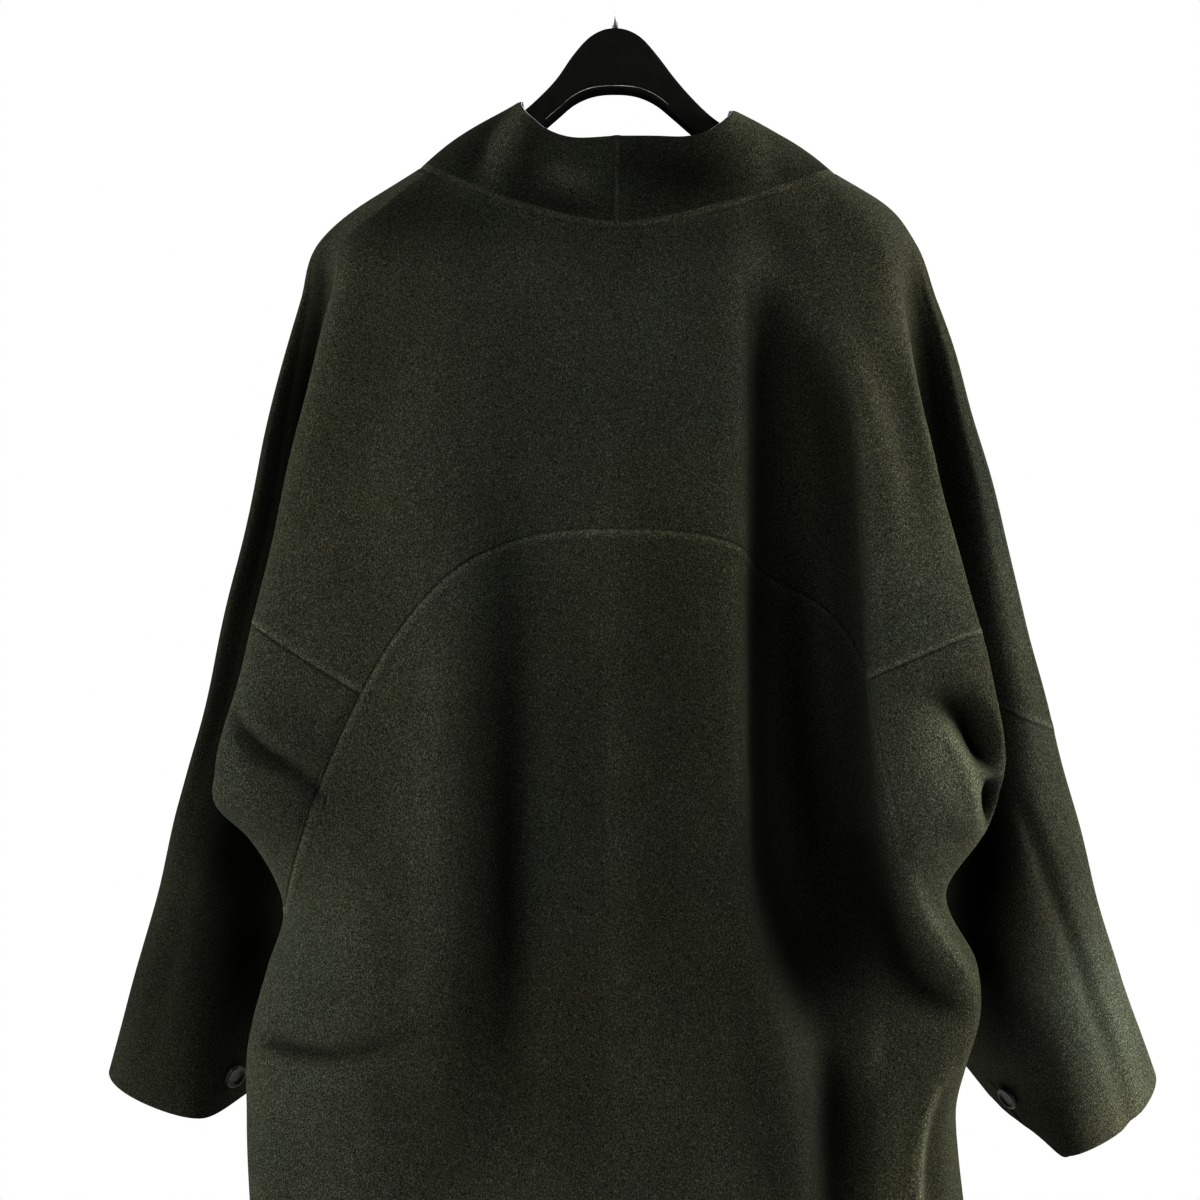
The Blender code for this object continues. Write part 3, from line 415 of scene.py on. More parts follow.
@dataclass
class CoatForm:
    """Shape in which the coat hangs: level cuts through named lines that run down the cloth."""

    wall: float = 0.0026
    hem_height: float = -1.210
    spine_across: float = 0.001
    back_top: float = 0.028
    back_swell: float = 0.077
    back_drop: float = 0.28
    front_top: float = 0.060
    front_swell: float = 0.038
    front_drop: float = 0.20
    shoulder_height: float = -0.167
    front_neck_height: float = -0.2535
    back_neck_height: float = -0.2095
    back_neck_power: float = 1.7
    front_neck_power: float = 2.0
    neck_reach: float = 1.1
    lap_half: float = 0.030
    chest_across: float = 0.105
    forearm_top: float = 0.014
    forearm_deep: float = 0.080
    forearm_drop: float = 0.33
    forearm_power: float = 0.7
    forearm_share: float = 0.27
    near_share: float = 0.42
    near_puff: float = 0.12
    arch_top: float = -0.411
    arch_rise: float = 0.233
    arch_half: float = 0.216
    arch_power: int = 3
    strip_across: float = 0.009
    strip_depth: float = 0.022
    pinch_reach: float = 0.060
    pinch_thin: float = 0.5
    pinch_spread: float = 0.025
    blade_across: float = -0.085
    blade_lift: float = 0.005
    lip_lift: float = 0.003
    arch_sink: float = 0.004
    shoulder_turn: float = 3.5
    shoulder_span: float = 1.0
    place_step: float = 0.02
    height_step: float = 0.001
    settle_rounds: int = 60
    folds: tuple = ()

    def torso_line(self, hand: Hand, name: str, height: Array) -> Array:
        """Point of a named line above the underarm, at each height.

        Args:
            hand: Side of the coat.
            name: Line down the cloth.
            height: Heights wanted.

        Returns:
            (across, depth) at each height.
        """
        rows = SIDES[hand]
        if name in ("outer", "ridge", "valley", "inlet"):
            below = FLANKS[hand] if name == "ridge" else ()
            heights = column(rows, "height") + column(below, "height")
            return blend(heights, column(rows, name) + column(below, name), height)
        if name not in ("near", "forearm"):
            return self.centre_line(hand, name, height)
        outer = self.torso_line(hand, "outer", height)
        if name == "near":
            reach = self.torso_line(hand, "valley", height) - outer
            puff = -self.near_puff * np.linalg.norm(reach, axis=1)
            return outer + self.near_share * reach + pair(0.0, puff)
        inlet = self.torso_line(hand, "inlet", height)
        grown = np.clip((self.shoulder_height - height) / self.forearm_drop, 0.0, 1.0)
        deep = self.forearm_top + (self.forearm_deep - self.forearm_top) * grown ** self.forearm_power
        across = outer[:, 0] + self.forearm_share * (inlet[:, 0] - outer[:, 0])
        return pair(across, outer[:, 1] + deep)

    def centre_line(self, hand: Hand, name: str, height: Array) -> Array:
        """Point of a line of the body that runs from neck to hem.

        Args:
            hand: Side of the coat.
            name: Line down the cloth.
            height: Heights wanted.

        Returns:
            (across, depth) at each height.
        """
        swell = 1.0 - np.exp((height - self.shoulder_height) / self.back_drop)
        back = -self.back_top - self.back_swell * swell
        swell = 1.0 - np.exp((height - self.front_neck_height) / self.front_drop)
        front = self.front_top + self.front_swell * swell
        if name == "spine":
            return pair(self.spine_across, back)
        if name == "blade":
            return pair(self.blade_across, back - self.blade_lift)
        if name == "lip":
            across = blend(column(TROUGHS, "height"), column(TROUGHS, "lip_across"), height)
            return pair(across[:, 0], back - self.lip_lift)
        if name == "floor":
            floor = [(row.floor_across, row.floor_depth) for row in TROUGHS]
            return blend(column(TROUGHS, "height"), floor, height)
        if name == "arch" and hand is Hand.LEFT:
            across = blend(column(ARCH_LINES, "height"), column(ARCH_LINES, "left_across"), height)
            return pair(across[:, 0], back + self.arch_sink)
        if name == "arch":
            line = [(row.right_across, row.right_depth) for row in ARCH_LINES]
            return blend(column(ARCH_LINES, "height"), line, height)
        if name == "chest":
            return pair(hand.sign * self.chest_across, front + CHEST_DEPTH[hand])
        return pair(-hand.sign * self.lap_half, front + EDGE_DEPTH[hand])

    def lower_line(self, hand: Hand, zone: Zone, name: str, height: Array) -> Array:
        """Point of a named line below the underarm, on the body or on the sleeve.

        Args:
            hand: Side of the coat.
            zone: Part of the form.
            name: Line down the cloth.
            height: Heights wanted.

        Returns:
            (across, depth) at each height.
        """
        underarm = name in ("valley", "inlet")
        if zone is Zone.BODY and not underarm:
            return self.torso_line(hand, name, height)
        rows, edge = (FLANKS[hand], "seam") if zone is Zone.BODY else (SLEEVES[hand], "inner")
        line = column(rows, edge if underarm else name)
        if name == "inlet":
            aside = hand.sign * self.strip_across
            line = [(across - aside, depth + self.strip_depth) for across, depth in line]
        first = tuple(self.torso_line(hand, name, np.array([SPLIT[hand]]))[0])
        return blend([SPLIT[hand]] + column(rows, "height"), [first] + line, height)

    def outline(self, hand: Hand, zone: Zone) -> list:
        """Lines met in order on a level cut, each as (place, hand, name)."""
        lines = [(float(k), hand, name) for k, name in enumerate(LINES[hand])]
        if zone is Zone.SLEEVE:
            return [(STRIP_END, hand, "valley")] + [line for line in lines if INLET <= line[0] <= VALLEY]
        if zone is Zone.BODY:
            lines = [line for line in lines if not INLET < line[0] < VALLEY]
        return lines + [(SPINE[hand] + 1.0, hand.mate, LINES[hand.mate][-2])]

    def points(self, hand: Hand, zone: Zone, place: Array, height: Array) -> Array:
        """Points of the outer cloth, before its folds.

        Args:
            hand: Side of the coat.
            zone: Part of the form.
            place: Places between lines.
            height: Heights, one for each place.

        Returns:
            One point for each place and height.
        """
        order = self.outline(hand, zone)
        stops = np.array([stop for stop, _, _ in order])
        if zone is Zone.TORSO:
            spots = [self.torso_line(owner, name, height) for _, owner, name in order]
        else:
            spots = [self.lower_line(owner, zone, name, height) for _, owner, name in order]
        names = [name for _, _, name in order]
        if zone is Zone.SLEEVE:
            place = STRIP_END + (place - STRIP_END) % (VALLEY - STRIP_END)
            spots = [spots[-2]] + spots + [spots[1]]
        else:
            spots = [2 * spots[0] - spots[1]] + spots
            spots.append(2 * spots[-1] - spots[-2])
        ease = smooth_step(np.abs(height - SPLIT[hand]) / self.pinch_reach)[:, None]
        slopes = []
        for k, name in enumerate(names):
            before, after = spots[k + 1] - spots[k], spots[k + 2] - spots[k + 1]
            back_step = np.linalg.norm(before, axis=1)[:, None] + SHORTEST
            fore_step = np.linalg.norm(after, axis=1)[:, None] + SHORTEST
            slope = (before / back_step * fore_step + after / fore_step * back_step) / (back_step + fore_step)
            slopes.append(slope * ease if name in ("valley", "inlet") else slope)
        flat = np.zeros((len(place), 2))
        cell = np.clip(np.searchsorted(stops, place, side="right") - 1, 0, len(stops) - 2)
        for k in range(len(stops) - 1):
            mine = cell == k
            start, end = spots[k + 1][mine], spots[k + 2][mine]
            wide = np.linalg.norm(end - start, axis=1)[:, None]
            part = ((place[mine] - stops[k]) / (stops[k + 1] - stops[k]))[:, None]
            flat[mine] = hermite(start, slopes[k][mine] * wide, end, slopes[k + 1][mine] * wide, part)
        return np.column_stack([flat, height])

    def outward(self, hand: Hand, zone: Zone, place: Array, height: Array) -> Array:
        """Unit normals of the outer cloth, pointing out.

        Args:
            hand: Side of the coat.
            zone: Part of the form.
            place: Places between lines.
            height: Heights, one for each place.

        Returns:
            One normal for each place and height.
        """
        wide, tall = self.place_step, self.height_step
        along = self.points(hand, zone, place + wide, height) - self.points(hand, zone, place - wide, height)
        up = self.points(hand, zone, place, height + tall) - self.points(hand, zone, place, height - tall)
        return unit(np.cross(along, up) * -hand.sign)

    def laid(self, hand: Hand, zone: Zone, place: Array, height: Array) -> tuple[Array, Array, Array]:
        """Points of the outer cloth with its folds, the normals of the form under them, and the shade that the
        folds paint into the colour.

        Args:
            hand: Side of the coat.
            zone: Part of the form.
            place: Places between lines.
            height: Heights, one for each place.

        Returns:
            Points, normals and shares of painted shade, negative where light is painted.
        """
        points = self.points(hand, zone, place, height)
        normals = self.outward(hand, zone, place, height)
        lift, light = ripple(points), np.ones(len(points))
        # Each fold paints its shade into the colour, or paints light where its shade is negative.
        for fold in self.folds:
            rise, shade = fold.press(hand, place, points)
            lift += rise
            light *= 1.0 - shade
        return points + normals * lift[:, None], normals, np.clip(1.0 - light, -1.0, 1.0)

    def settle(self, hand: Hand, place: Array, start: float, rule: object) -> Array:
        """Height at which each line down the cloth meets a seam drawn as height over across.

        Args:
            hand: Side of the coat.
            place: Places between lines.
            start: First guess at the height.
            rule: Function from across to height.

        Returns:
            One height for each place.
        """
        height = np.full(len(place), start)
        for _ in range(self.settle_rounds):
            height = 0.5 * height + 0.5 * rule(self.points(hand, Zone.TORSO, place, height)[:, 0])
        return height

    def neck_height(self, hand: Hand, place: Array) -> Array:
        """Neck seam height on each line.

        Args:
            hand: Side of the coat.
            place: Places between lines.

        Returns:
            One height for each place.
        """
        def edge(centre: float, low: float, power: float) -> Array:
            """Height of the front or of the back neck, as a curve from its middle to the shoulder."""
            def rule(across: Array) -> Array:
                """Height of the neck over across."""
                share = np.clip(np.abs(across - centre) / NECK_HALF[hand], 0.0, self.neck_reach)
                return low + (self.shoulder_height - low) * share ** power

            return self.settle(hand, place, self.shoulder_height, rule)

        back = edge(self.spine_across, self.back_neck_height, self.back_neck_power)
        front = edge(0.0, self.front_neck_height, self.front_neck_power)
        return front + (back - front) * np.clip((place - self.shoulder_turn) / self.shoulder_span, 0.0, 1.0)

    def arch_height(self, hand: Hand, place: Array) -> Array:
        """Arched seam height on each line from the underarm to the spine.

        Args:
            hand: Side of the coat.
            place: Places between lines.

        Returns:
            One height for each place.
        """
        def rule(across: Array) -> Array:
            """Height of the arch over across."""
            share = np.abs(across - self.spine_across) / self.arch_half
            return self.arch_top - self.arch_rise * share ** self.arch_power

        height = self.settle(hand, np.maximum(place, RIDGE), self.arch_top, rule)
        if hand is Hand.LEFT:
            return height + (SPLIT[hand] - height) * np.clip(RIDGE - place, 0.0, 1.0)
        low = blend(column(RIGHT_ARCH_FOOT, "place"), column(RIGHT_ARCH_FOOT, "height"), place)[:, 0]
        shift = self.settle(hand, np.array([ARCH]), self.arch_top, rule)[0] - RIGHT_ARCH_FOOT[0].height
        return np.where(place < ARCH, low + shift * np.clip(place - RIDGE, 0.0, 1.0), height)

    def seam_height(self, hand: Hand, place: Array) -> Array:
        """Sleeve seam height on each line from the inlet to the arch line.

        Args:
            hand: Side of the coat.
            place: Places between lines.

        Returns:
            One height for each place.
        """
        heights = [*SLEEVE_SEAM[hand], self.arch_height(hand, np.array([ARCH]))[0]]
        return blend(np.arange(INLET, ARCH + 0.5), heights, place)[:, 0]

    def cuff_height(self, hand: Hand, place: Array) -> Array:
        """Cuff edge height on each line round the sleeve."""
        return blend(np.arange(STRIP_END, VALLEY + 0.5), CUFF[hand], place)[:, 0]

    def zone_at(self, hand: Hand, height: Array) -> Array:
        """Whether each height of the body lies above the underarm."""
        return height > SPLIT[hand] + SAME_HEIGHT

    def nearness(self, points: Array) -> Array:
        """How close points are to either underarm.

        Args:
            points: Points of the cloth.

        Returns:
            Shares from 0 far away to 1 at the underarm.
        """
        close = np.zeros(len(points))
        for rows in SIDES.values():
            corner = 0.5 * (np.array(rows[-1].valley) + np.array(rows[-1].inlet))
            away = np.linalg.norm(points - np.array([*corner, rows[-1].height]), axis=1)
            close = np.maximum(close, np.exp(-((away / self.pinch_spread) ** 2)))
        return close


class Crease(NamedTuple):
    """One row of a fold: where it runs, its half width, its rise or fall, and its share of shade painted into
    the colour, negative where light is painted.
    """

    across: float
    height: float
    width: float
    lift: float
    shade: float = 0.0


class Swell(NamedTuple):
    """One slow wave of the cloth."""

    across: float
    depth: float
    height: float
    phase: float
    lift: float


# Each fold paints its shade into the cloth's colour, and paints light where its shade is negative.
@dataclass(frozen=True)
class Fold:
    """Soft trough or ridge laid along a path on one face of the cloth."""

    name: str
    hand: Hand
    places: tuple
    rows: tuple
    steps: int = 48
    fade: float = 0.25
    reach: float = 3.2

    def press(self, hand: Hand, place: Array, points: Array) -> tuple[Array, Array]:
        """Rise of the cloth that this fold gives, and the shade that it paints into the colour.

        Args:
            hand: Side of the coat that the points are on.
            place: Places between lines.
            points: Points of the form.

        Returns:
            One distance along the normal and one share of painted shade for each point, negative where light
            is painted.
        """
        rise, shade = np.zeros(len(points)), np.zeros(len(points))
        if hand is not self.hand:
            return rise, shade
        table = np.array(self.rows)
        run = np.concatenate([[0.0], np.cumsum(np.hypot(*np.diff(table[:, :2], axis=0).T))])
        path = blend(run, table, fan(0.0, run[-1], self.steps))
        flat = points[:, [0, 2]]
        margin = self.reach * table[:, 2].max()
        low, high = path[:, :2].min(axis=0) - margin, path[:, :2].max(axis=0) + margin
        near = ((flat > low) & (flat < high)).all(axis=1)
        near &= (place > self.places[0] - self.fade) & (place < self.places[1] + self.fade)
        if not near.any():
            return rise, shade
        spots = flat[near]
        best = np.full(len(spots), np.inf)
        row = np.tile(path[0, 2:], (len(spots), 1))
        for one, two in zip(path[:-1], path[1:]):
            along = two[:2] - one[:2]
            share = np.clip((spots - one[:2]) @ along / (along @ along), 0.0, 1.0)
            away = np.linalg.norm(spots - one[:2] - share[:, None] * along, axis=1)
            closer = away < best
            best = np.where(closer, away, best)
            row[closer] = (one[2:] + (two[2:] - one[2:]) * share[:, None])[closer]
        low_fade = smooth_step((place[near] - self.places[0] + self.fade) / self.fade)
        high_fade = smooth_step((self.places[1] + self.fade - place[near]) / self.fade)
        core = np.exp(-((best / row[:, 0]) ** 2)) * low_fade * high_fade
        rise[near], shade[near] = row[:, 1] * core, row[:, 2] * core
        return rise, shade


SWELLS = (
    Swell(38.0, 11.0, 9.0, 0.4, 0.0006),
    Swell(-23.0, 17.0, 21.0, 1.9, 0.0006),
    Swell(61.0, -29.0, 7.0, 2.7, 0.0004),
    Swell(17.0, 31.0, -43.0, 4.1, 0.0004),
    Swell(83.0, 23.0, 29.0, 5.3, 0.00025),
    Swell(-47.0, 41.0, 71.0, 0.9, 0.00025),
)


def ripple(points: Array) -> Array:
    """Slow unevenness of cloth that hangs.

    Args:
        points: Points of the form.

    Returns:
        One rise for each point.
    """
    rise = np.zeros(len(points))
    for swell in SWELLS:
        rise += swell.lift * np.sin(points @ np.array(swell[:3]) + swell.phase)
    return rise


def left(name: str, places: tuple, *rows: tuple, fade: float = Fold.fade) -> Fold:
    """Fold on the left side, its creases in millimetres."""
    return Fold(name, Hand.LEFT, places, rows_of(Crease, *rows), fade=fade)


def right(name: str, places: tuple, *rows: tuple, fade: float = Fold.fade) -> Fold:
    """Fold on the right side, its creases in millimetres."""
    return Fold(name, Hand.RIGHT, places, rows_of(Crease, *rows), fade=fade)


# Folds of the back as they hang, each in its own sizes, and softer ones on the sides that face away; their
# shade paints shadow into the colour, and negative shade paints light.
FOLDS = (
    left("spine_fold_ridge", (8.0, 10.2), (-112, -300, 24, 0), (-107, -400, 22, 2), (-106, -496, 19, 4),
         (-109, -600, 18, 5), (-112, -700, 19, 4), (-116, -820, 23, 0)),
    left("spine_fold_trough", (8.0, 10.2), (-76, -240, 26, 0), (-74, -380, 23, -3, 26),
         (-71.5, -500, 18, -8, 58), (-71, -600, 17, -10, 83), (-72, -690, 18, -9, 80),
         (-73, -770, 21, -3, 38), (-74, -840, 24, 0)),
    # Folds with no lift, from here on, only paint shade into the colour, or light where their shade is
    # negative.
    left("spine_fold_face", (8.0, 10.2), (-88, -400, 12, 0), (-88, -500, 13, 0, 30),
         (-91, -600, 14, 0, 42), (-94, -700, 15, 0, 40), (-98, -790, 18, 0, 22), (-100, -880, 20, 0)),
    left("base_painted_shade", (7.4, 10.2), (-132, -660, 30, 0), (-130, -740, 40, 0, 10),
         (-128, -820, 45, 0, 12), (-126, -950, 45, 0)),
    right("base_painted_shade", (7.4, 9.6), (165, -740, 24, 0), (168, -800, 34, 0, 20),
          (170, -860, 40, 0, 18), (172, -960, 40, 0)),
    left("spine_fold_slope", (8.6, 10.2), (-34, -340, 34, 0, 10), (-30, -480, 38, -3, 26),
         (-26, -620, 40, -4, 32), (-24, -740, 40, -2, 24), (-22, -860, 40, 0, 5)),
    right("spine_slope", (10.0, 11.3), (26, -340, 38, 0, 14), (32, -480, 46, 0, 34),
          (36, -620, 48, 0, 40), (38, -740, 46, 0, 30), (38, -860, 44, 0, 6)),
    left("upper_painted_shade", (7.4, 10.2), (-155, -270, 85, 0, 16), (-80, -280, 95, 0, 18),
         (-4, -285, 95, 0, 17)),
    right("upper_painted_shade", (9.8, 11.3), (4, -285, 95, 0, 17), (60, -280, 85, 0, 15)),
    left("neck_painted_shade", (6.9, 10.2), (4, -216, 26, 0, 24), (-64.6, -203, 26, 0, 36),
         (-105, -196, 30, 0, 48), (-146, -192, 36, 0, 58), (-180, -205, 34, 0, 36), (-196, -240, 28, 0)),
    right("neck_painted_shade", (7.4, 11.2), (-4, -216, 26, 0, 24), (58, -213, 26, 0, 28),
          (98.6, -203, 26, 0, 32), (136, -196, 28, 0)),
    right("lip_foot", (9.0, 11.0), (78, -560, 12, 0), (86, -640, 16, 0, 36), (98, -700, 22, 0, 46),
          (106, -760, 26, 0, 48), (110, -840, 28, 0, 44), (112, -950, 30, 0, 20), (112, -1100, 30, 0)),
    # Painted shade on the left sleeve and strips, which lie away from the light; painted light on the right
    # sleeve, shoulder and hip, which face it.
    left("sleeve_painted_shading", (3.4, 6.4), (-262, -560, 50, 0, 42), (-290, -660, 62, 0, 60),
         (-312, -750, 68, 0, 64), (-330, -860, 72, 0, 50)),
    left("strip_painted_shade", (3.2, 5.6), (-196, -240, 22, 0, 35), (-226, -340, 28, 0, 60),
         (-262, -470, 30, 0, 62), (-290, -560, 30, 0, 50), (-310, -620, 26, 0, 20)),
    right("strip_painted_shade", (3.6, 5.6), (200, -250, 18, 0, 25), (222, -320, 22, 0, 36),
          (242, -380, 22, 0, 26), (262, -440, 20, 0)),
    right("sleeve_painted_shading", (3.4, 5.6), (318, -650, 16, 0), (330, -690, 22, 0, -40),
          (352, -745, 30, 0, -90), (376, -820, 32, 0, -85)),
    right("shoulder_painted_light", (7.0, 8.9), (172, -215, 22, 0), (190, -290, 30, 0, -30),
          (200, -380, 32, 0, -26), (206, -470, 30, 0, -22), (206, -520, 26, 0)),
    right("hip_painted_light", (6.9, 8.2), (186, -760, 16, 0), (192, -810, 20, 0, -35),
          (192, -880, 22, 0, -25), (192, -1000, 22, 0)),
    right("lip_roll", (9.3, 11.2), (74, -260, 12, 0), (74.5, -340, 14, 2), (73.5, -450, 15, 3),
          (73.5, -570, 15, 3), (78, -660, 15, 2), (90, -740, 16, 0)),
    right("trough_wall", (8.9, 10.05), (88.5, -238, 4, 0), (92.5, -256, 8, -2, 45),
          (97, -290, 12, -6, 62), (100, -340, 15, -8, 72), (102, -420, 17, -10, 80),
          (104, -580, 18, -10, 86), (109, -650, 20, -9, 88), (118, -695, 21, -5, 84),
          (124, -722, 17, -2, 50), (128, -748, 14, 0)),
    right("trough_bed", (8.1, 9.4), (92, -238, 5, 0, 10), (102, -258, 11, -3, 40),
          (116, -288, 18, -6, 52), (128, -318, 23, -9, 57), (136, -355, 26, -12, 60),
          (139, -410, 27, -13, 62), (140, -500, 28, -14, 64), (143, -600, 28, -12, 72),
          (146, -660, 27, -9, 76), (148, -705, 25, -5, 72), (150, -730, 18, -2, 32), (151, -752, 14, 0)),
    right("plate_edge", (7.4, 8.9), (110, -238, 8, 0), (128, -262, 10, 2, -10),
          (152, -300, 12, 4, -18), (173, -348, 13, 4, -16), (178, -410, 14, 4, -10), (179, -480, 15, 4),
          (181, -540, 15, 4), (184, -595, 14, 3), (190, -650, 12, 0)),
    right("plate_ruck", (7.2, 8.6), (178, -275, 12, 0), (184, -312, 14, -3, 18),
          (190, -350, 14, -4, 22), (197, -392, 13, -2, 10), (202, -425, 12, 0)),
    # Gaps beside the ridges and under the pouches get deep painted shadow, beyond the shade of their hollows.
    left("arm_gap", (4.4, 6.6), (-196, -215, 12, 0, 20), (-210, -290, 26, -8, 88),
         (-222, -370, 32, -14, 95), (-240, -470, 36, -18, 95), (-256, -550, 38, -18, 94),
         (-264, -600, 36, -11, 94), (-254, -645, 30, 0, 86), (-238, -690, 22, 0)),
    left("underarm", (4.7, 6.4), (-270, -585, 18, 0), (-263, -622, 32, 0, 95),
         (-257, -672, 40, 0, 100), (-263, -722, 36, 0, 96), (-280, -800, 26, 0)),
    right("arm_gap", (5.05, 6.6), (205, -225, 10, 0, 10), (212, -290, 13, -8, 68),
          (225, -370, 15, -14, 74), (242, -470, 16, -18, 74), (256, -550, 19, -18, 86),
          (259, -620, 22, -11, 92), (250, -695, 22, 0), fade=0.4),
    right("underarm", (4.7, 6.4), (266, -580, 14, 0), (257, -632, 30, 0, 95),
          (254, -685, 40, 0, 100), (270, -738, 32, 0, 92), (286, -805, 24, 0)),
    right("pouch_hollow", (7.1, 8.1), (196, -522, 7, 0), (214, -525, 9, -8, 45),
          (229, -534, 10.5, -18, 85), (238, -547, 10.5, -22, 97), (242.5, -557, 9, -20, 96),
          (245.5, -564, 6, -10, 80), (247, -568, 3, 0), fade=0.08),
    right("pouch_pocket", (7.0, 8.1), (241.5, -573, 3, 0, 30), (244.5, -580, 6.5, -10, 92),
          (247, -592, 7.5, -11, 95), (249, -604, 5.5, -4, 75), (250, -612, 4, 0), fade=0.06),
    # Lobe, face and tuck of the right pouch are painted lighter where they face the light.
    right("pouch_lobe", (7.0, 8.1), (193, -530, 12, 0, -35), (208, -543, 12, 8, -90),
          (218, -558, 12, 13, -100), (225, -577, 12, 13, -100), (232, -597, 10, 8, -80),
          (239, -614, 8, 0, -30)),
    right("pouch_face", (7.0, 8.05), (186, -535, 14, 0), (196, -560, 18, 2, -45),
          (206, -590, 20, 3, -60), (214, -622, 18, 0, -40), (214, -650, 14, 0)),
    right("pouch_tuck", (7.04, 8.1), (257.5, -559.5, 3, 1), (252, -564, 3.5, 4, -40),
          (246, -569.5, 3.5, 5, -40), (239, -576.5, 3, 0), fade=0.05),
    left("pouch_crease", (7.12, 8.3), (-256, -521, 4, 0), (-244.5, -539, 5, -6, 35),
         (-233.5, -552, 6, -9, 58), (-222, -561, 6, -9, 58), (-210, -568, 5.5, -7, 52),
         (-197, -581, 5, -5, 45), (-187, -593, 4, 0), fade=0.1),
    left("pouch_overlap", (7.12, 8.3), (-246, -522, 9, 0), (-232, -538, 10, 4), (-217, -549, 10, 5),
         (-202, -558, 9, 3), (-190, -570, 8, 0), fade=0.1),
    left("pouch_cushion", (6.5, 8.3), (-252, -562, 16, 0), (-236, -580, 18, 5), (-216, -590, 18, 5),
         (-196, -598, 16, 0)),
    left("hip_crease", (6.8, 10.0), (-238, -742, 4, -1, 10), (-229, -747, 4.5, -3, 45),
         (-211, -751, 5, -4, 60), (-188, -752, 5, -4, 60), (-159, -746, 5, -3, 45),
         (-132, -737, 5, -1.5, 25), (-98, -727, 6, 0)),
    right("hip_band", (8.0, 10.0), (142, -738, 10, 0, 30), (144, -775, 13, -4, 78),
          (145, -860, 15, -5, 84), (147, -1000, 17, -5, 60), (150, -1215, 20, -5, 40)),
    # The flap's shadow and the side gutter are painted shade; the flap's rim and the ridges are painted light.
    right("flap_shadow", (6.9, 9.2), (158, -625, 18, -3, 60), (171, -666, 19, -6, 78),
          (188, -700, 16, -6, 86), (205, -716.5, 12, -5, 78), (223, -726.5, 8, -2, 50), (234, -731, 5, 0)),
    right("flap_rim", (6.6, 8.9), (180, -605, 8, 0), (191, -645, 8, 3, -25), (206, -674, 8, 5, -40),
          (222, -695, 7, 5, -45), (233, -711, 6, 2, -30), (238, -722, 5, 0)),
    right("hip_ridge", (7.6, 9.2), (170, -728, 8, 0), (168, -742, 9, 4, -15),
          (164, -765, 9, 4, -15), (160, -790, 8, 0)),
    right("side_ridge", (5.0, 8.5), (226, -757, 6, 0), (207, -785, 6, 4, -40),
          (200, -815, 6, 5, -50), (198.5, -860, 6, 5, -50), (199, -1000, 7, 4, -20), (200, -1200, 8, 2)),
    right("side_gutter", (5.0, 8.5), (222, -772, 6, 0), (213, -798, 8, -3, 35),
          (210.5, -830, 9, -4, 42), (210, -870, 9, -4, 36), (210, -1000, 10, -3, 20), (210, -1200, 10, 0)),
    right("sleeve_crease", (4.0, 6.1), (276, -585, 5, 0), (288, -610, 6, -3, 24),
          (306, -655, 7, -4, 34), (328, -706, 7, -4, 34), (350, -766, 7, -4, 26), (374, -835, 6, -3, 12)),
    left("sleeve_crease", (3.9, 6.1), (-280, -580, 8, 0), (-296, -640, 10, -3), (-316, -710, 10, -4),
         (-334, -790, 9, -2)),
    left("front_drape", (0.0, 2.2), (-100, -320, 20, 0), (-112, -480, 22, -6), (-118, -700, 24, -9),
         (-122, -950, 26, -10), (-124, -1215, 28, -8)),
    left("front_roll", (0.0, 2.2), (-60, -360, 22, 0), (-66, -560, 24, 5), (-70, -850, 26, 7),
         (-74, -1215, 28, 6)),
    right("front_drape", (0.0, 2.2), (92, -350, 18, 0), (100, -520, 22, -5), (110, -760, 24, -9),
          (114, -1000, 26, -11), (112, -1215, 28, -9)),
    right("front_roll", (0.0, 2.2), (150, -640, 20, 0), (158, -800, 22, 6), (162, -1000, 24, 8),
          (164, -1215, 26, 6)),
    left("forearm_crease", (2.2, 4.0), (-214, -560, 10, 0), (-246, -600, 12, -7),
         (-280, -628, 12, -7), (-306, -642, 10, 0)),
    right("forearm_crease", (2.2, 4.0), (226, -620, 10, 0), (262, -652, 12, -8),
          (300, -676, 12, -6), (330, -686, 10, 0)),
)


# Folds of the stand collar, whose shade paints shadow into dents and valleys and whose negative shade paints
# light on ridges and paler patches.
COLLAR_FOLDS = (
    left("collar_ridge", (5.0, 10.0), (-60.5, -126, 6, 3, -70), (-71, -149, 8, 5, -78),
         (-81, -172, 10, 3, -46), (-88, -190, 12, 0)),
    left("collar_valley", (5.0, 10.0), (-50, -140, 10, -1, 2), (-60, -160, 14, -4, 10),
         (-69, -182, 16, -4, 16), (-76, -198, 14, 0, 10)),
    left("collar_pale_patch", (7.0, 10.2), (-50, -172, 6, 0), (-36, -175, 9, 0, -34),
         (-24, -179, 9, 0, -26), (-8, -184, 8, 0)),
    left("collar_foot", (7.0, 10.2), (-70, -188, 7, 0), (-50, -193, 9, 0, 16), (-26, -197, 9, 0, 16),
         (-6, -200, 8, 0)),
    left("collar_turn", (5.0, 10.0), (-80, -146, 9, 0, 22), (-92, -166, 13, -3, 22),
         (-102, -184, 12, 0, 10)),
    right("collar_dent", (7.0, 11.0), (14, -164, 18, 0, 22), (34, -170, 22, -4, 28),
          (52, -175, 22, -5, 30), (68, -180, 14, 0, 15)),
    right("collar_ridge", (5.0, 10.0), (76.5, -134, 15, 3, -95), (86, -156, 14, 5, -62),
          (94, -180, 13, 2, -34), (100, -198, 12, 0)),
    right("collar_turn", (5.0, 10.0), (100, -143, 14, 0, -20), (112, -158, 15, 0, -26),
          (124, -178, 14, 0, -16)),
)


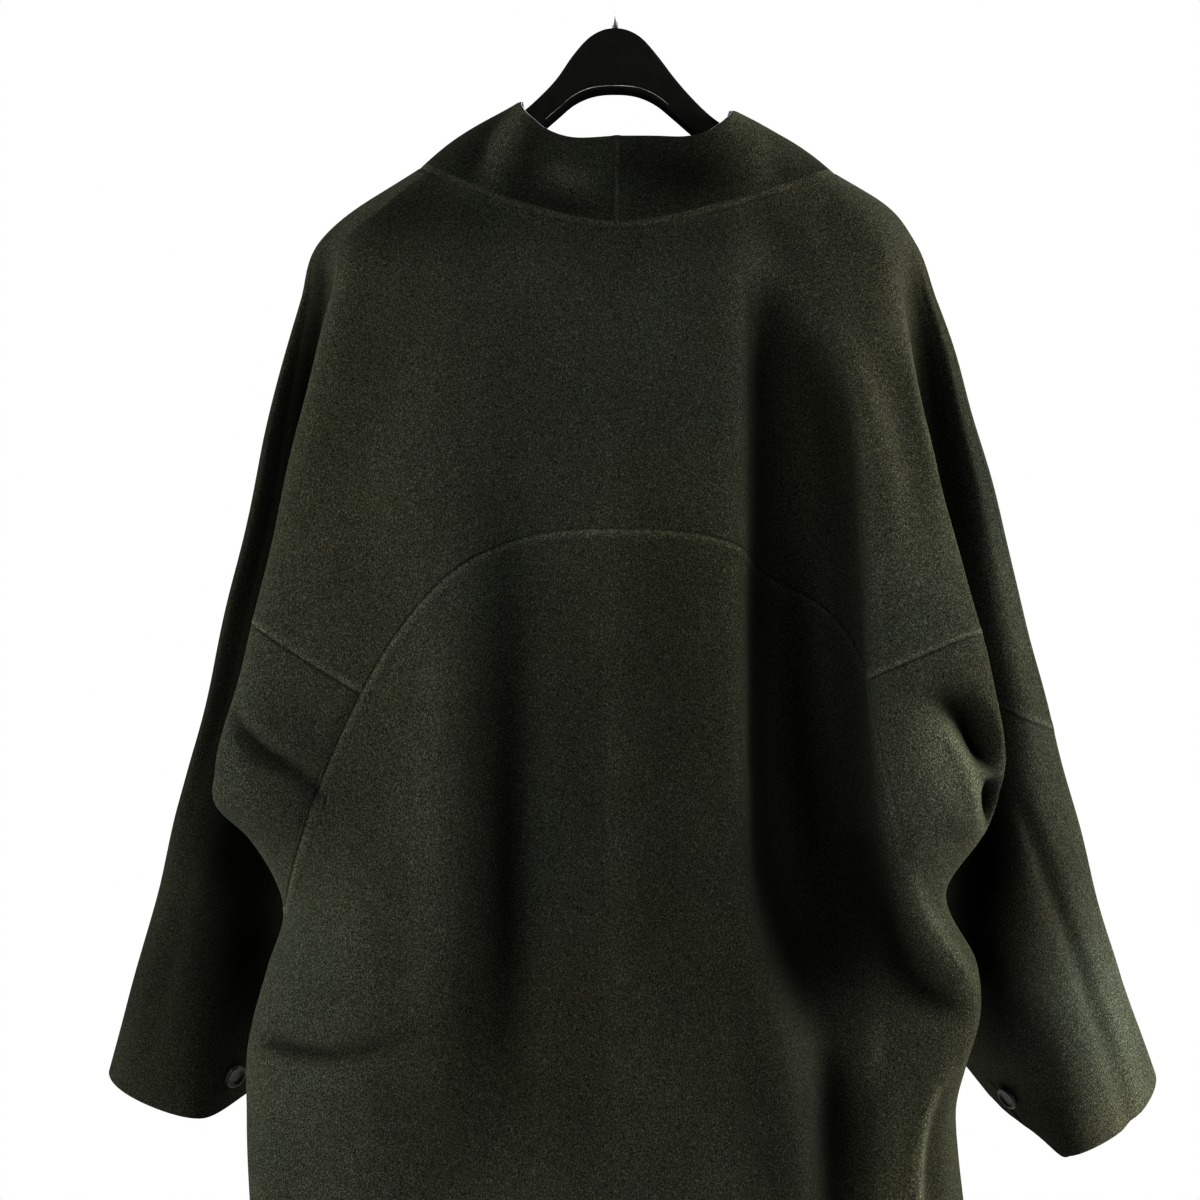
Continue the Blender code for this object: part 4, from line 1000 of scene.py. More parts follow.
class Rim(Enum):
    """Free edge of a panel, named by where it lies on the panel's grid."""

    FIRST_ROW = "first row"
    LAST_ROW = "last row"
    FIRST_COLUMN = "first column"


def new_grid(columns: int, rows: int) -> bmesh.types.BMesh:
    """Start a flat grid whose points stand at their own column and row.

    Args:
        columns: Points across.
        rows: Points along.

    Returns:
        The grid.
    """
    shape = bmesh.new()
    bmesh.ops.create_grid(shape, x_segments=columns - 1, y_segments=rows - 1, size=0.5)
    for vert in shape.verts:
        vert.co = (round((vert.co.x + 0.5) * (columns - 1)), round((vert.co.y + 0.5) * (rows - 1)), 0.0)
    return shape


def pushed(shape: bmesh.types.BMesh) -> list:
    """Extrude every face and give the new points."""
    made = bmesh.ops.extrude_face_region(shape, geom=shape.faces[:])
    return [item for item in made["geom"] if isinstance(item, bmesh.types.BMVert)]


def add_piece(name: str, shape: bmesh.types.BMesh, materials: list) -> bpy.types.Object:
    """Turn a finished shape into a smooth object in the scene.

    Args:
        name: Name of the piece.
        shape: Its shape, which is used up.
        materials: Its finishes, by face index.

    Returns:
        The new object, at the origin.
    """
    bmesh.ops.recalc_face_normals(shape, faces=shape.faces)
    for face in shape.faces:
        face.smooth = True
    mesh = bpy.data.meshes.new(name)
    shape.to_mesh(mesh)
    shape.free()
    for material in materials:
        mesh.materials.append(material)
    piece = bpy.data.objects.new(name, mesh)
    bpy.context.scene.collection.objects.link(piece)
    return piece


def settle_piece(piece: bpy.types.Object, replaced: tuple = ()) -> None:
    """Fix a piece to the coat's body and report it.

    Args:
        piece: The piece.
        replaced: Solids that it stands for.
    """
    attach(piece, BODY)
    if replaced:
        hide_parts(*replaced)
    log.info("%s: %d faces", piece.name, len(piece.data.polygons))


@dataclass
class Cloth:
    """Panel laid on the form: outer and inner points in a grid, and the cells that it keeps."""

    name: str
    outer: Array
    inner: Array
    # Shade painted into the outer face's colour at each point, and light where it is negative.
    shade: Array
    keep: Array
    rims: tuple = ()
    rim_cuts: int = 3

    def away(self) -> Array:
        """Directions out of the panel at its free edges, zero elsewhere."""
        out = np.zeros_like(self.outer)
        if Rim.FIRST_ROW in self.rims:
            out[:, 0] += unit(self.outer[:, 0] - self.outer[:, 1])
        if Rim.LAST_ROW in self.rims:
            out[:, -1] += unit(self.outer[:, -1] - self.outer[:, -2])
        if Rim.FIRST_COLUMN in self.rims:
            out[0] += unit(self.outer[0] - self.outer[1])
        return out

    def cut(self) -> tuple[tuple[float, float], float]:
        """Size of the flat cut.

        Returns:
            Its greatest width, measured level, its greatest length, and its area.
        """
        across = np.linalg.norm(np.diff(self.outer[:, :, :2], axis=0), axis=2)
        down = np.linalg.norm(np.diff(self.outer, axis=1), axis=2)
        wide = 0.5 * (across[:, 1:] + across[:, :-1]) * self.keep
        tall = 0.5 * (down[1:] + down[:-1]) * self.keep
        one, two = self.outer[1:, 1:] - self.outer[:-1, :-1], self.outer[1:, :-1] - self.outer[:-1, 1:]
        area = 0.5 * np.linalg.norm(np.cross(one, two), axis=2) * self.keep
        return (float(wide.sum(axis=0).max()), float(tall.sum(axis=1).max())), float(area.sum())

    def tree(self) -> tuple[list, list]:
        """Outer points and kept cells, as a search tree takes them."""
        rows = self.outer.shape[1]
        i, j = np.nonzero(self.keep)
        corner = i * rows + j
        cells = np.stack([corner, corner + rows, corner + rows + 1, corner + 1], axis=1)
        return self.outer.reshape(-1, 3).tolist(), cells.tolist()

    def sew(self, materials: list, wall: float) -> bpy.types.Object:
        """Make the closed cloth wall, with rounded free edges.

        Args:
            materials: Finish of the outer face and of the inner face.
            wall: Thickness of the cloth.

        Returns:
            The panel.
        """
        columns, rows = self.outer.shape[:2]
        shape = new_grid(columns, rows)
        cell = shape.verts.layers.int.new("cell")
        depth = shape.verts.layers.float.new("depth")
        # Painted shade from the folds goes on the outer face; the inner face gets none.
        painted_shade = shape.verts.layers.float.new("painted_shade")
        out = shape.verts.layers.float_vector.new("out")
        spare = []
        for face in shape.faces:
            middle = face.calc_center_median()
            if not self.keep[int(middle.x), int(middle.y)]:
                spare.append(face)
        away = self.away()
        free = np.linalg.norm(away, axis=2).ravel() > 0.0
        spots = (self.outer - 0.5 * wall * away).reshape(-1, 3).tolist()
        away = away.reshape(-1, 3).tolist()
        shade = self.shade.ravel().tolist()
        for vert in shape.verts:
            index = round(vert.co.x) * rows + round(vert.co.y)
            vert[cell] = index
            vert.co = spots[index]
            vert[painted_shade] = shade[index]
            if free[index]:
                vert[out] = away[index]
        bmesh.ops.delete(shape, geom=spare, context="FACES")
        through = (self.inner - self.outer).reshape(-1, 3).tolist()
        for vert in pushed(shape):
            vert.co += Vector(through[vert[cell]])
            vert[depth] = 1.0
            vert[painted_shade] = 0.0
        edges = [
            edge for edge in shape.edges
            if edge.verts[0][depth] != edge.verts[1][depth] and free[edge.verts[0][cell]]
        ]
        if edges:
            bmesh.ops.subdivide_edges(shape, edges=edges, cuts=self.rim_cuts, use_grid_fill=True)
        for vert in shape.verts:
            if 0.0 < vert[depth] < 1.0:
                vert.co += vert[out] * 0.5 * wall * math.sqrt(1.0 - (2.0 * vert[depth] - 1.0) ** 2)
        for face in shape.faces:
            deep = sum(vert[depth] for vert in face.verts) / len(face.verts)
            face.material_index = 1 if deep > 0.5 else 0
        layers = shape.verts.layers
        for kind, name in ((layers.int, "cell"), (layers.float, "depth"), (layers.float_vector, "out")):
            kind.remove(kind[name])
        return add_piece(self.name, shape, materials)


ZONES = (Zone.TORSO, Zone.BODY, Zone.SLEEVE)
HANDS = (Hand.LEFT, Hand.RIGHT)
PINCH_LIFT = {Zone.TORSO: 1.0, Zone.SLEEVE: 0.6, Zone.BODY: 0.4}


@dataclass
class Pattern:
    """Grid of seats on the form for one panel, before it is laid."""

    hand: Array
    zone: Array
    place: Array
    height: Array
    keep: Array

    @classmethod
    def blank(cls, columns: int, rows: int) -> "Pattern":
        """Start an empty grid.

        Args:
            columns: Points across.
            rows: Points along.

        Returns:
            The grid, with every cell kept.
        """
        size = (columns, rows)
        keep = np.ones((columns - 1, rows - 1), bool)
        return cls(np.zeros(size, int), np.zeros(size, int), np.zeros(size), np.zeros(size), keep)

    @classmethod
    def joined(cls, form: CoatForm, halves: dict) -> "Pattern":
        """Grid of a panel whose halves meet at the spine.

        Args:
            form: Shape of the coat.
            halves: Places and heights of each side, from its outer edge to the spine.

        Returns:
            The grid.
        """
        left_count, right_count = (len(halves[hand][0]) for hand in HANDS)
        pattern = cls.blank(left_count + right_count - 1, halves[Hand.LEFT][1].shape[1])
        for hand, (place, height) in halves.items():
            block, way = slice(0, left_count), slice(None)
            if hand is Hand.RIGHT:
                block, way = slice(left_count - 1, None), slice(None, None, -1)
            pattern.put_body(form, (block, slice(None)), hand, place[way], height[way])
        return pattern

    def put(self, block: tuple, hand: Hand, zone: Array, place: Array, height: Array) -> None:
        """Set a block of the grid.

        Args:
            block: Columns and rows, as slices.
            hand: Side of the coat.
            zone: Part of the form, one for the block or one for each seat.
            place: Places between lines.
            height: Heights.
        """
        self.hand[block] = HANDS.index(hand)
        self.zone[block] = ZONES.index(zone) if isinstance(zone, Zone) else zone
        self.place[block] = place
        self.height[block] = height

    def put_body(self, form: CoatForm, block: tuple, hand: Hand, place: Array, height: Array) -> None:
        """Set a block of the body, each seat on the form that holds at its height.

        Args:
            form: Shape of the coat.
            block: Columns and rows, as slices.
            hand: Side of the coat.
            place: Places between lines.
            height: Heights.
        """
        above = form.zone_at(hand, height)
        self.put(block, hand, np.where(above, ZONES.index(Zone.TORSO), ZONES.index(Zone.BODY)), place, height)

    def lay(self, form: CoatForm, name: str, rims: tuple = ()) -> Cloth:
        """Lay the panel on the form.

        Args:
            form: Shape of the coat.
            name: Name of the panel.
            rims: Its free edges.

        Returns:
            The laid panel.
        """
        outer, inner = np.zeros((*self.place.shape, 3)), np.zeros((*self.place.shape, 3))
        shade = np.zeros(self.place.shape)
        for hand_index, hand in enumerate(HANDS):
            for zone_index, zone in enumerate(ZONES):
                mine = (self.hand == hand_index) & (self.zone == zone_index)
                if not mine.any():
                    continue
                points, normals, shade[mine] = form.laid(hand, zone, self.place[mine], self.height[mine])
                close = form.nearness(points)[:, None]
                lift = close * PINCH_LIFT[zone]
                normals = unit(normals * (1.0 - lift) + np.array([0.0, 0.0, -1.0]) * lift)
                outer[mine] = points
                inner[mine] = points - form.wall * (1.0 - form.pinch_thin * close) * normals
        return Cloth(name, outer, inner, shade, self.keep, rims)


@dataclass
class Seating:
    """Rows and columns of the panels, shared where panels meet."""

    form: CoatForm
    body_rows: int = 230
    front_body_rows: int = 115
    yoke_rows: int = 110
    front_yoke_rows: int = 56
    pouch_rows: int = 72
    front_pouch_rows: int = 36
    flank_columns: int = 24
    sleeve_rows: int = 60
    front_columns: int = 56
    collar_rows: int = 36
    strip_columns: int = 4
    pouch_steps: int = 5
    foot_steps: int = 3
    tube_steps: int = 8
    upper_steps: int = 5
    back_steps: dict = field(default_factory=lambda: {Hand.LEFT: 5, Hand.RIGHT: 4})
    body_row_power: float = 1.35
    pouch_row_power: float = 1.3
    hem_spread_power: float = 1.5
    strip_drop: float = 0.005

    def rise(self, rows: int) -> Array:
        """Shares of the way from hem to arch, closer together toward the arch."""
        return 1.0 - (1.0 - fan(0.0, 1.0, rows)) ** self.body_row_power

    def pouch_down(self, rows: int) -> Array:
        """Shares of the way from sleeve seam to underarm, closer together toward the underarm."""
        return 1.0 - (1.0 - fan(0.0, 1.0, rows)) ** self.pouch_row_power

    def arch_places(self, hand: Hand) -> Array:
        """Places along the arch from the underarm to the spine.

        Args:
            hand: Side of the coat.

        Returns:
            Places in order.
        """
        share = (ARCH - refine(POUCH_STOPS, self.foot_steps)[::-1]) / (ARCH - VALLEY)
        foot = POUCH_CORNER + (VALLEY - POUCH_CORNER) * share
        flank = (ARCH + (POUCH_CORNER - ARCH) * self.pouch_down(self.flank_columns))[::-1]
        centre = refine(BACK_STOPS[hand], self.back_steps[hand])
        return np.concatenate([foot, flank[1:], centre[1:]])

    def yoke_places(self, hand: Hand) -> Array:
        """Places across the yoke's lower edge from the over-arm line to the spine.

        Args:
            hand: Side of the coat.

        Returns:
            Places in order.
        """
        tube = refine(tuple(stop for stop in TUBE_STOPS[::-1] if stop >= OUTER), self.tube_steps)
        pouch = refine(POUCH_STOPS[::-1], self.pouch_steps)
        centre = refine(BACK_STOPS[hand], self.back_steps[hand])
        return np.concatenate([tube, pouch[1:], centre[1:]])

    def front_places(self, columns: int) -> tuple[Array, Array]:
        """Places across a front.

        Args:
            columns: Steps from the front edge to the side seam.

        Returns:
            Places below the armhole, and those of the whole shoulder.
        """
        low = fan(0.0, INLET, columns)
        return low, np.concatenate([low, refine(UPPER_STOPS, self.upper_steps)[1:]])

    def upper(self, hand: Hand, places: Array, feet: Array, rows: int) -> Array:
        """Heights from a lower edge up to the neck.

        Args:
            hand: Side of the coat.
            places: Places across.
            feet: Height of the lower edge at each.
            rows: Steps up.

        Returns:
            Heights in a grid.
        """
        tops = self.form.neck_height(hand, places)
        return feet[:, None] + (tops - feet)[:, None] * fan(0.0, 1.0, rows)[None, :]

    def pouch(self, hand: Hand) -> tuple[Array, Array]:
        """Seats of the sleeve cloth between sleeve seam, arch and underarm.

        Args:
            hand: Side of the coat.

        Returns:
            Places and heights in a grid.
        """
        form = self.form
        top_place = refine(POUCH_STOPS, self.pouch_steps)
        across = (ARCH - top_place) / (ARCH - VALLEY)
        down = self.pouch_down(self.pouch_rows)
        foot_place = POUCH_CORNER + (VALLEY - POUCH_CORNER) * across
        arch_place = ARCH + (POUCH_CORNER - ARCH) * down
        top_height = form.seam_height(hand, top_place)
        valley_height = top_height[-1] + (SPLIT[hand] - top_height[-1]) * down
        foot_height, arch_height = (form.arch_height(hand, places) for places in (foot_place, arch_place))
        edges = (
            (top_place, foot_place, arch_place, np.full_like(down, VALLEY)),
            (top_height, foot_height, arch_height, valley_height),
        )
        u, v = across[:, None], down[None, :]
        result = []
        for top, foot, arch, valley in edges:
            flat = (1 - v) * top[:, None] + v * foot[:, None] + (1 - u) * arch[None, :] + u * valley[None, :]
            upper, lower = ((1 - u) * edge[0] + u * edge[-1] for edge in (top, foot))
            result.append(flat - (1 - v) * upper - v * lower)
        return result[0], result[1]


@dataclass
class Body:
    """Lower back and the two fronts."""

    seats: Seating

    def back_half(self, hand: Hand) -> tuple[Array, Array]:
        """Seats of one side of the lower back, from the side seam to the spine.

        Args:
            hand: Side of the coat.

        Returns:
            Places and heights in a grid.
        """
        seats, form = self.seats, self.seats.form
        arch = seats.arch_places(hand)
        strip = fan(INLET, VALLEY, seats.strip_columns)[:-1]
        share = (strip - INLET) / (VALLEY - INLET)
        strip_tops = SPLIT[hand] - seats.strip_drop * bow(share)
        tops = form.arch_height(hand, arch)
        tops[0] = SPLIT[hand]
        tops = np.concatenate([strip_tops, tops])
        places = np.concatenate([strip, arch])
        hems = np.concatenate([strip, np.linspace(VALLEY, SPINE[hand], len(arch))])
        rise = seats.rise(seats.body_rows)[None, :]
        spread = hems[:, None] + (places - hems)[:, None] * rise ** seats.hem_spread_power
        return spread, form.hem_height + (tops[:, None] - form.hem_height) * rise

    def back(self) -> Cloth:
        """Lower back from hem to arch, side seam to side seam.

        Returns:
            The laid panel.
        """
        pattern = Pattern.joined(self.seats.form, {hand: self.back_half(hand) for hand in HANDS})
        return pattern.lay(self.seats.form, "back_panel", (Rim.FIRST_ROW,))

    def front(self, hand: Hand) -> Cloth:
        """Front from its edge to the side seam, armhole and over-arm line.

        Args:
            hand: Side of the coat.

        Returns:
            The laid panel.
        """
        seats, form = self.seats, self.seats.form
        low, places = seats.front_places(seats.front_columns)
        mid = seats.front_body_rows + seats.front_pouch_rows
        pattern = Pattern.blank(len(places), mid + seats.front_yoke_rows + 1)
        shoulder = form.seam_height(hand, np.array([INLET]))[0]
        feet = np.where(places <= INLET, shoulder, form.seam_height(hand, places))
        height = seats.upper(hand, places, feet, seats.front_yoke_rows)
        pattern.put((slice(None), slice(mid, None)), hand, Zone.TORSO, places[:, None], height)
        below = form.hem_height + (SPLIT[hand] - form.hem_height) * seats.rise(seats.front_body_rows)
        chest = (shoulder + (SPLIT[hand] - shoulder) * seats.pouch_down(seats.front_pouch_rows))[::-1][1:-1]
        height = np.broadcast_to(np.concatenate([below, chest])[None, :], (len(low), mid))
        pattern.put_body(form, (slice(0, len(low)), slice(0, mid)), hand, low[:, None], height)
        pattern.keep[seats.front_columns:, :mid] = False
        return pattern.lay(form, f"{hand.value}_front", (Rim.FIRST_ROW, Rim.FIRST_COLUMN))


@dataclass
class Yoke:
    """Upper back with both shoulders."""

    seats: Seating

    def back(self) -> Cloth:
        """Upper back from the neck to the arch and the sleeve seams.

        Returns:
            The laid panel.
        """
        seats, form = self.seats, self.seats.form
        halves = {}
        for hand in HANDS:
            places = seats.yoke_places(hand)
            feet = np.where(places < ARCH, form.seam_height(hand, places), form.arch_height(hand, places))
            halves[hand] = (places[:, None], seats.upper(hand, places, feet, seats.yoke_rows))
        return Pattern.joined(form, halves).lay(form, "back_yoke")


@dataclass
class Sleeve:
    """Lower sleeve with its pouch, from the sleeve seam to the cuff."""

    seats: Seating
    hand: Hand

    def panel(self) -> Cloth:
        """Sleeve closed by a strip under the arm.

        Returns:
            The laid panel.
        """
        seats, form, hand = self.seats, self.seats.form, self.hand
        tube = refine(TUBE_STOPS, seats.tube_steps)
        strip = fan(INLET, STRIP_END, seats.strip_columns)[1:]
        lower = np.concatenate([tube, strip])
        place, height = seats.pouch(hand)
        first = len(place) - 1
        rows = seats.pouch_rows + seats.sleeve_rows + 1
        pattern = Pattern.blank(first + len(lower), rows)
        top = slice(0, seats.pouch_rows + 1)
        pattern.put((slice(0, first + 1), top), hand, Zone.TORSO, place, height)
        tops = form.seam_height(hand, tube)
        height = tops[:, None] + (SPLIT[hand] - tops)[:, None] * seats.pouch_down(seats.pouch_rows)[None, :]
        pattern.put((slice(first, first + len(tube)), top), hand, Zone.TORSO, tube[:, None], height)
        share = np.clip((INLET - lower) / (INLET - STRIP_END), 0.0, 1.0)
        tops = SPLIT[hand] - seats.strip_drop * bow(share)
        drop = form.cuff_height(hand, lower) - tops
        height = tops[:, None] + drop[:, None] * fan(0.0, 1.0, seats.sleeve_rows)
        block = (slice(first, None), slice(seats.pouch_rows, None))
        pattern.put(block, hand, Zone.SLEEVE, lower[:, None], height)
        pattern.keep[:first, seats.pouch_rows:] = False
        pattern.keep[first + len(tube) - 1:, :seats.pouch_rows] = False
        return pattern.lay(form, f"{hand.value}_sleeve", (Rim.LAST_ROW,))


@dataclass
class Collar:
    """Half of the stand collar, from the spine seam to its front edge."""

    seats: Seating
    hand: Hand
    front_columns: int = 30
    # Shade painted into the colour of the whole collar, darker than the back.
    collar_painted_shade: float = 0.54

    def panel(self) -> Cloth:
        """Collar half that leans in from the neck seam to its top edge.

        Returns:
            The laid panel.
        """
        form, hand = self.seats.form, self.hand
        _, front = self.seats.front_places(self.front_columns)
        places = np.concatenate([front, self.seats.yoke_places(hand)[1:]])
        heights = form.neck_height(hand, places)
        foot, lean, _ = form.laid(hand, Zone.TORSO, places, heights)
        top = blend(range(len(COLLAR_TOP[hand])), COLLAR_TOP[hand], places)
        count = self.seats.collar_rows
        outer = np.zeros((len(places), count + 1, 3))
        inner, shade = np.zeros_like(outer), np.full(outer.shape[:2], self.collar_painted_shade)
        middle = np.array(COLLAR_MIDDLE[hand])
        for row, rise in enumerate(fan(0.0, 1.0, count)):
            points = foot + (top - foot) * rise
            away = points - middle
            away[:, 2] = 0.0
            away = unit(lean * (1 - rise) + unit(away) * rise)
            lift = np.full(len(points), COLLAR_BOW * bow(rise))
            # Collar folds add painted shade, and painted light where their shade is negative.
            for fold in COLLAR_FOLDS:
                rise_here, shade_here = fold.press(hand, places, points)
                lift += rise_here
                shade[:, row] += shade_here
            outer[:, row] = points + away * lift[:, None]
            inner[:, row] = outer[:, row] - form.wall * away
        keep = np.ones((len(places) - 1, count), bool)
        return Cloth(f"{hand.value}_collar", outer, inner, shade, keep, (Rim.LAST_ROW, Rim.FIRST_COLUMN))


class BandRow(NamedTuple):
    """One row across a felled seam: distance from the seam line, rise off the cloth, and share of painted
    shade, negative where light is painted.
    """

    offset: float
    rise: float
    shade: float


# Felled seams are painted with a shadow line at the seam and a paler highlight along the raised band beside
# it.
FELLED = rows_of(
    BandRow, (-2.6, -0.4, 0), (-1.6, 0.2, 5), (-0.6, 0.2, 66), (0.2, 0.2, 30), (1, 0.3, -34),
    (2.2, 0.45, -44), (3.6, 0.4, -20), (5.4, 0.3, -8), (7, 0.2, 0), (8.6, -0.4, 0),
)
NECK_FELLED = rows_of(
    BandRow, (-2.4, -0.4, 0), (-1.4, 0.2, 2), (-0.5, 0.2, 24), (0.3, 0.3, -15), (1.4, 0.5, -34),
    (3, 0.5, -28), (4.2, 0.3, -15), (5.6, -0.4, 0),
)
# The pressed seam's middle is painted paler and its edges a little darker.
PRESSED = rows_of(
    BandRow, (-3, -0.4, 0), (-2, 0.2, 6), (-1, 0.3, -35), (0, 0.4, -70), (1, 0.3, -35), (2, 0.2, 6),
    (3, -0.4, 0),
)
FLATTENED = rows_of(
    BandRow, (-4, -0.4, 0), (-2, 0.3, 0), (0, 0.5, 0), (2, 0.3, 0), (4, -0.4, 0),
)


class SeamLine(NamedTuple):
    """Run of a seam on the cloth: points, normals, painted shade of the folds it crosses, and share of its
    relief.
    """

    path: Array
    normals: Array
    shade: Array
    show: Array


@dataclass
class SeamBand:
    """Felled seam: a narrow raised band that lies along one side of a seam line, with shade and light painted
    into its colour.
    """

    name: str
    line: SeamLine
    toward: float
    rows: tuple = FELLED
    step: float = 0.0025
    sink: float = 0.0012
    # Where the seam runs level, its painted shadow line fades and its painted highlight grows, as the light
    # falls from above.
    crown: float = 0.9
    crown_slope: float = 0.45

    def resampled(self) -> SeamLine:
        """The line at even steps along the seam.

        Returns:
            Points, normals, shade and relief.
        """
        run = np.linalg.norm(np.diff(self.line.path, axis=0), axis=1)
        run = np.concatenate([[0.0], np.cumsum(run)])
        spots = np.linspace(0.0, run[-1], max(int(run[-1] / self.step), 2) + 1)
        table = np.column_stack(self.line)
        even = np.stack([np.interp(spots, run, values) for values in table.T], axis=1)
        return SeamLine(even[:, :3], unit(even[:, 3:6]), even[:, 6], even[:, 7])

    def build(self, panels: list, material: bpy.types.Material) -> bpy.types.Object:
        """Lay the band on the panels that it joins.

        Args:
            panels: Laid panels beside the seam.
            material: Finish of the band.

        Returns:
            The band.
        """
        spots, cells = [], []
        for panel in panels:
            more_spots, more_cells = panel.tree()
            cells += [[corner + len(spots) for corner in cell] for cell in more_cells]
            spots += more_spots
        ground = BVHTree.FromPolygons(spots, cells)
        line = self.resampled()
        along = unit(np.gradient(line.path, axis=0))
        beside = unit(np.cross(line.normals, along)) * self.toward
        level = self.crown * (1.0 - np.clip(np.abs(along[:, 2]) / self.crown_slope, 0.0, 1.0))
        shape = new_grid(len(line.path), len(self.rows))
        painted_shade = shape.verts.layers.float.new("painted_shade")
        below = shape.verts.layers.float_vector.new("below")
        for vert in shape.verts:
            i = round(vert.co.x)
            row = self.rows[round(vert.co.y)]
            found, normal, _, _ = ground.find_nearest(Vector(line.path[i] + beside[i] * row.offset))
            lean = Vector(line.normals[i])
            normal = normal if normal.dot(lean) > 0.0 else -normal
            normal = (normal + lean).normalized()
            rise = min(row.rise, 0.0) + max(row.rise, 0.0) * line.show[i]
            vert.co = found + normal * rise
            # Painted shade of the seam, with less dark and more light where it runs level, on top of the
            # painted shade of the folds under it.
            dark = max(row.shade, 0.0) * (1.0 - level[i]) + min(row.shade, 0.0) * (1.0 + level[i])
            light = (1.0 - dark * line.show[i]) * (1.0 - line.shade[i])
            vert[painted_shade] = 1.0 - light
            vert[below] = normal * -(rise + self.sink)
        for vert in pushed(shape):
            vert.co += vert[below]
        shape.verts.layers.float_vector.remove(below)
        return add_piece(self.name, shape, [material])


@dataclass
class Seams:
    """Seams of the coat, drawn on its form."""

    seats: Seating
    samples: int = 160
    flank_show: float = 0.12
    arch_lead: float = 0.3
    neck_lead: float = 0.5
    sleeve_lead: float = 0.2

    def shown(self, share: Array) -> Array:
        """Share of a seam's relief, which sinks to a little on a flank."""
        return self.flank_show + (1.0 - self.flank_show) * smooth_step(share)

    def line(self, hand: Hand, zone: Zone, place: Array, height: Array) -> SeamLine:
        """Run of a seam on the cloth.

        Args:
            hand: Side of the coat.
            zone: Part of the form.
            place: Places between lines.
            height: Heights.

        Returns:
            The line, with all its relief.
        """
        place, height = np.broadcast_arrays(np.asarray(place, float), np.asarray(height, float))
        return SeamLine(*self.seats.form.laid(hand, zone, place, height), np.ones(len(place)))

    def arch(self) -> SeamBand:
        """Arched seam from underarm to underarm, felled on to the lower back and flat on the right flank.

        Returns:
            Its band.
        """
        form, halves = self.seats.form, []
        for hand in HANDS:
            places = refine((VALLEY, RIDGE, ARCH, SPINE[hand]), self.samples)
            half = self.line(hand, Zone.TORSO, places, form.arch_height(hand, places))
            if hand is Hand.RIGHT:
                shown = self.shown(places - ARCH + self.arch_lead)
                half = SeamLine(*(values[::-1][1:] for values in half._replace(show=shown)))
            halves.append(half)
        return SeamBand("arch_seam", SeamLine(*(np.concatenate(parts) for parts in zip(*halves))), -1.0)

    def sleeve(self, hand: Hand) -> SeamBand:
        """Sleeve seam from the arch round to the armhole, felled up on to the yoke and front."""
        places = refine((ARCH, RIDGE, VALLEY, OUTER, INLET), self.samples)
        line = self.line(hand, Zone.TORSO, places, self.seats.form.seam_height(hand, places))
        if hand is Hand.LEFT:
            line = line._replace(show=self.shown((places - RIDGE) / self.sleeve_lead + 1.0))
        return SeamBand(f"{hand.value}_sleeve_seam", line, hand.sign)

    def neck(self, hand: Hand) -> SeamBand:
        """Neck seam from the front edge to the spine, felled up on to the collar."""
        places = refine((0.0, INLET, OUTER, VALLEY, ARCH, SPINE[hand]), self.samples)
        line = self.line(hand, Zone.TORSO, places, self.seats.form.neck_height(hand, places))
        line = line._replace(show=self.shown(places - ARCH + self.neck_lead))
        return SeamBand(f"{hand.value}_neck_seam", line, -hand.sign, NECK_FELLED, crown=0.0)

    def collar_centre(self, collar: Cloth) -> SeamBand:
        """Short pressed seam at the centre back of the collar."""
        path = collar.outer[-1]
        line = SeamLine(path, unit(path - collar.inner[-1]), collar.shade[-1], np.ones(len(path)))
        return SeamBand("collar_centre_seam", line, 1.0, PRESSED)

    def over_arm(self, hand: Hand) -> SeamBand:
        """Shoulder seam from the neck down the over-arm line to the sleeve seam, pressed flat."""
        form, place = self.seats.form, np.array([OUTER])
        heights = fan(form.neck_height(hand, place)[0], form.seam_height(hand, place)[0], self.samples)
        line = self.line(hand, Zone.TORSO, OUTER, heights)
        return SeamBand(f"{hand.value}_shoulder_seam", line, -hand.sign, FLATTENED)

    def side(self, hand: Hand) -> SeamBand:
        """Side seam from the underarm to the hem, felled on to the back."""
        heights = fan(SPLIT[hand], self.seats.form.hem_height + FELLED[-1].offset, self.samples)
        return SeamBand(f"{hand.value}_side_seam", self.line(hand, Zone.BODY, INLET, heights), -hand.sign)

    def armhole(self, hand: Hand) -> SeamBand:
        """Front armhole seam from the sleeve seam to the underarm, felled on to the front."""
        heights = fan(self.seats.form.seam_height(hand, np.array([INLET]))[0], SPLIT[hand], self.samples)
        return SeamBand(f"{hand.value}_armhole_seam", self.line(hand, Zone.TORSO, INLET, heights), hand.sign)


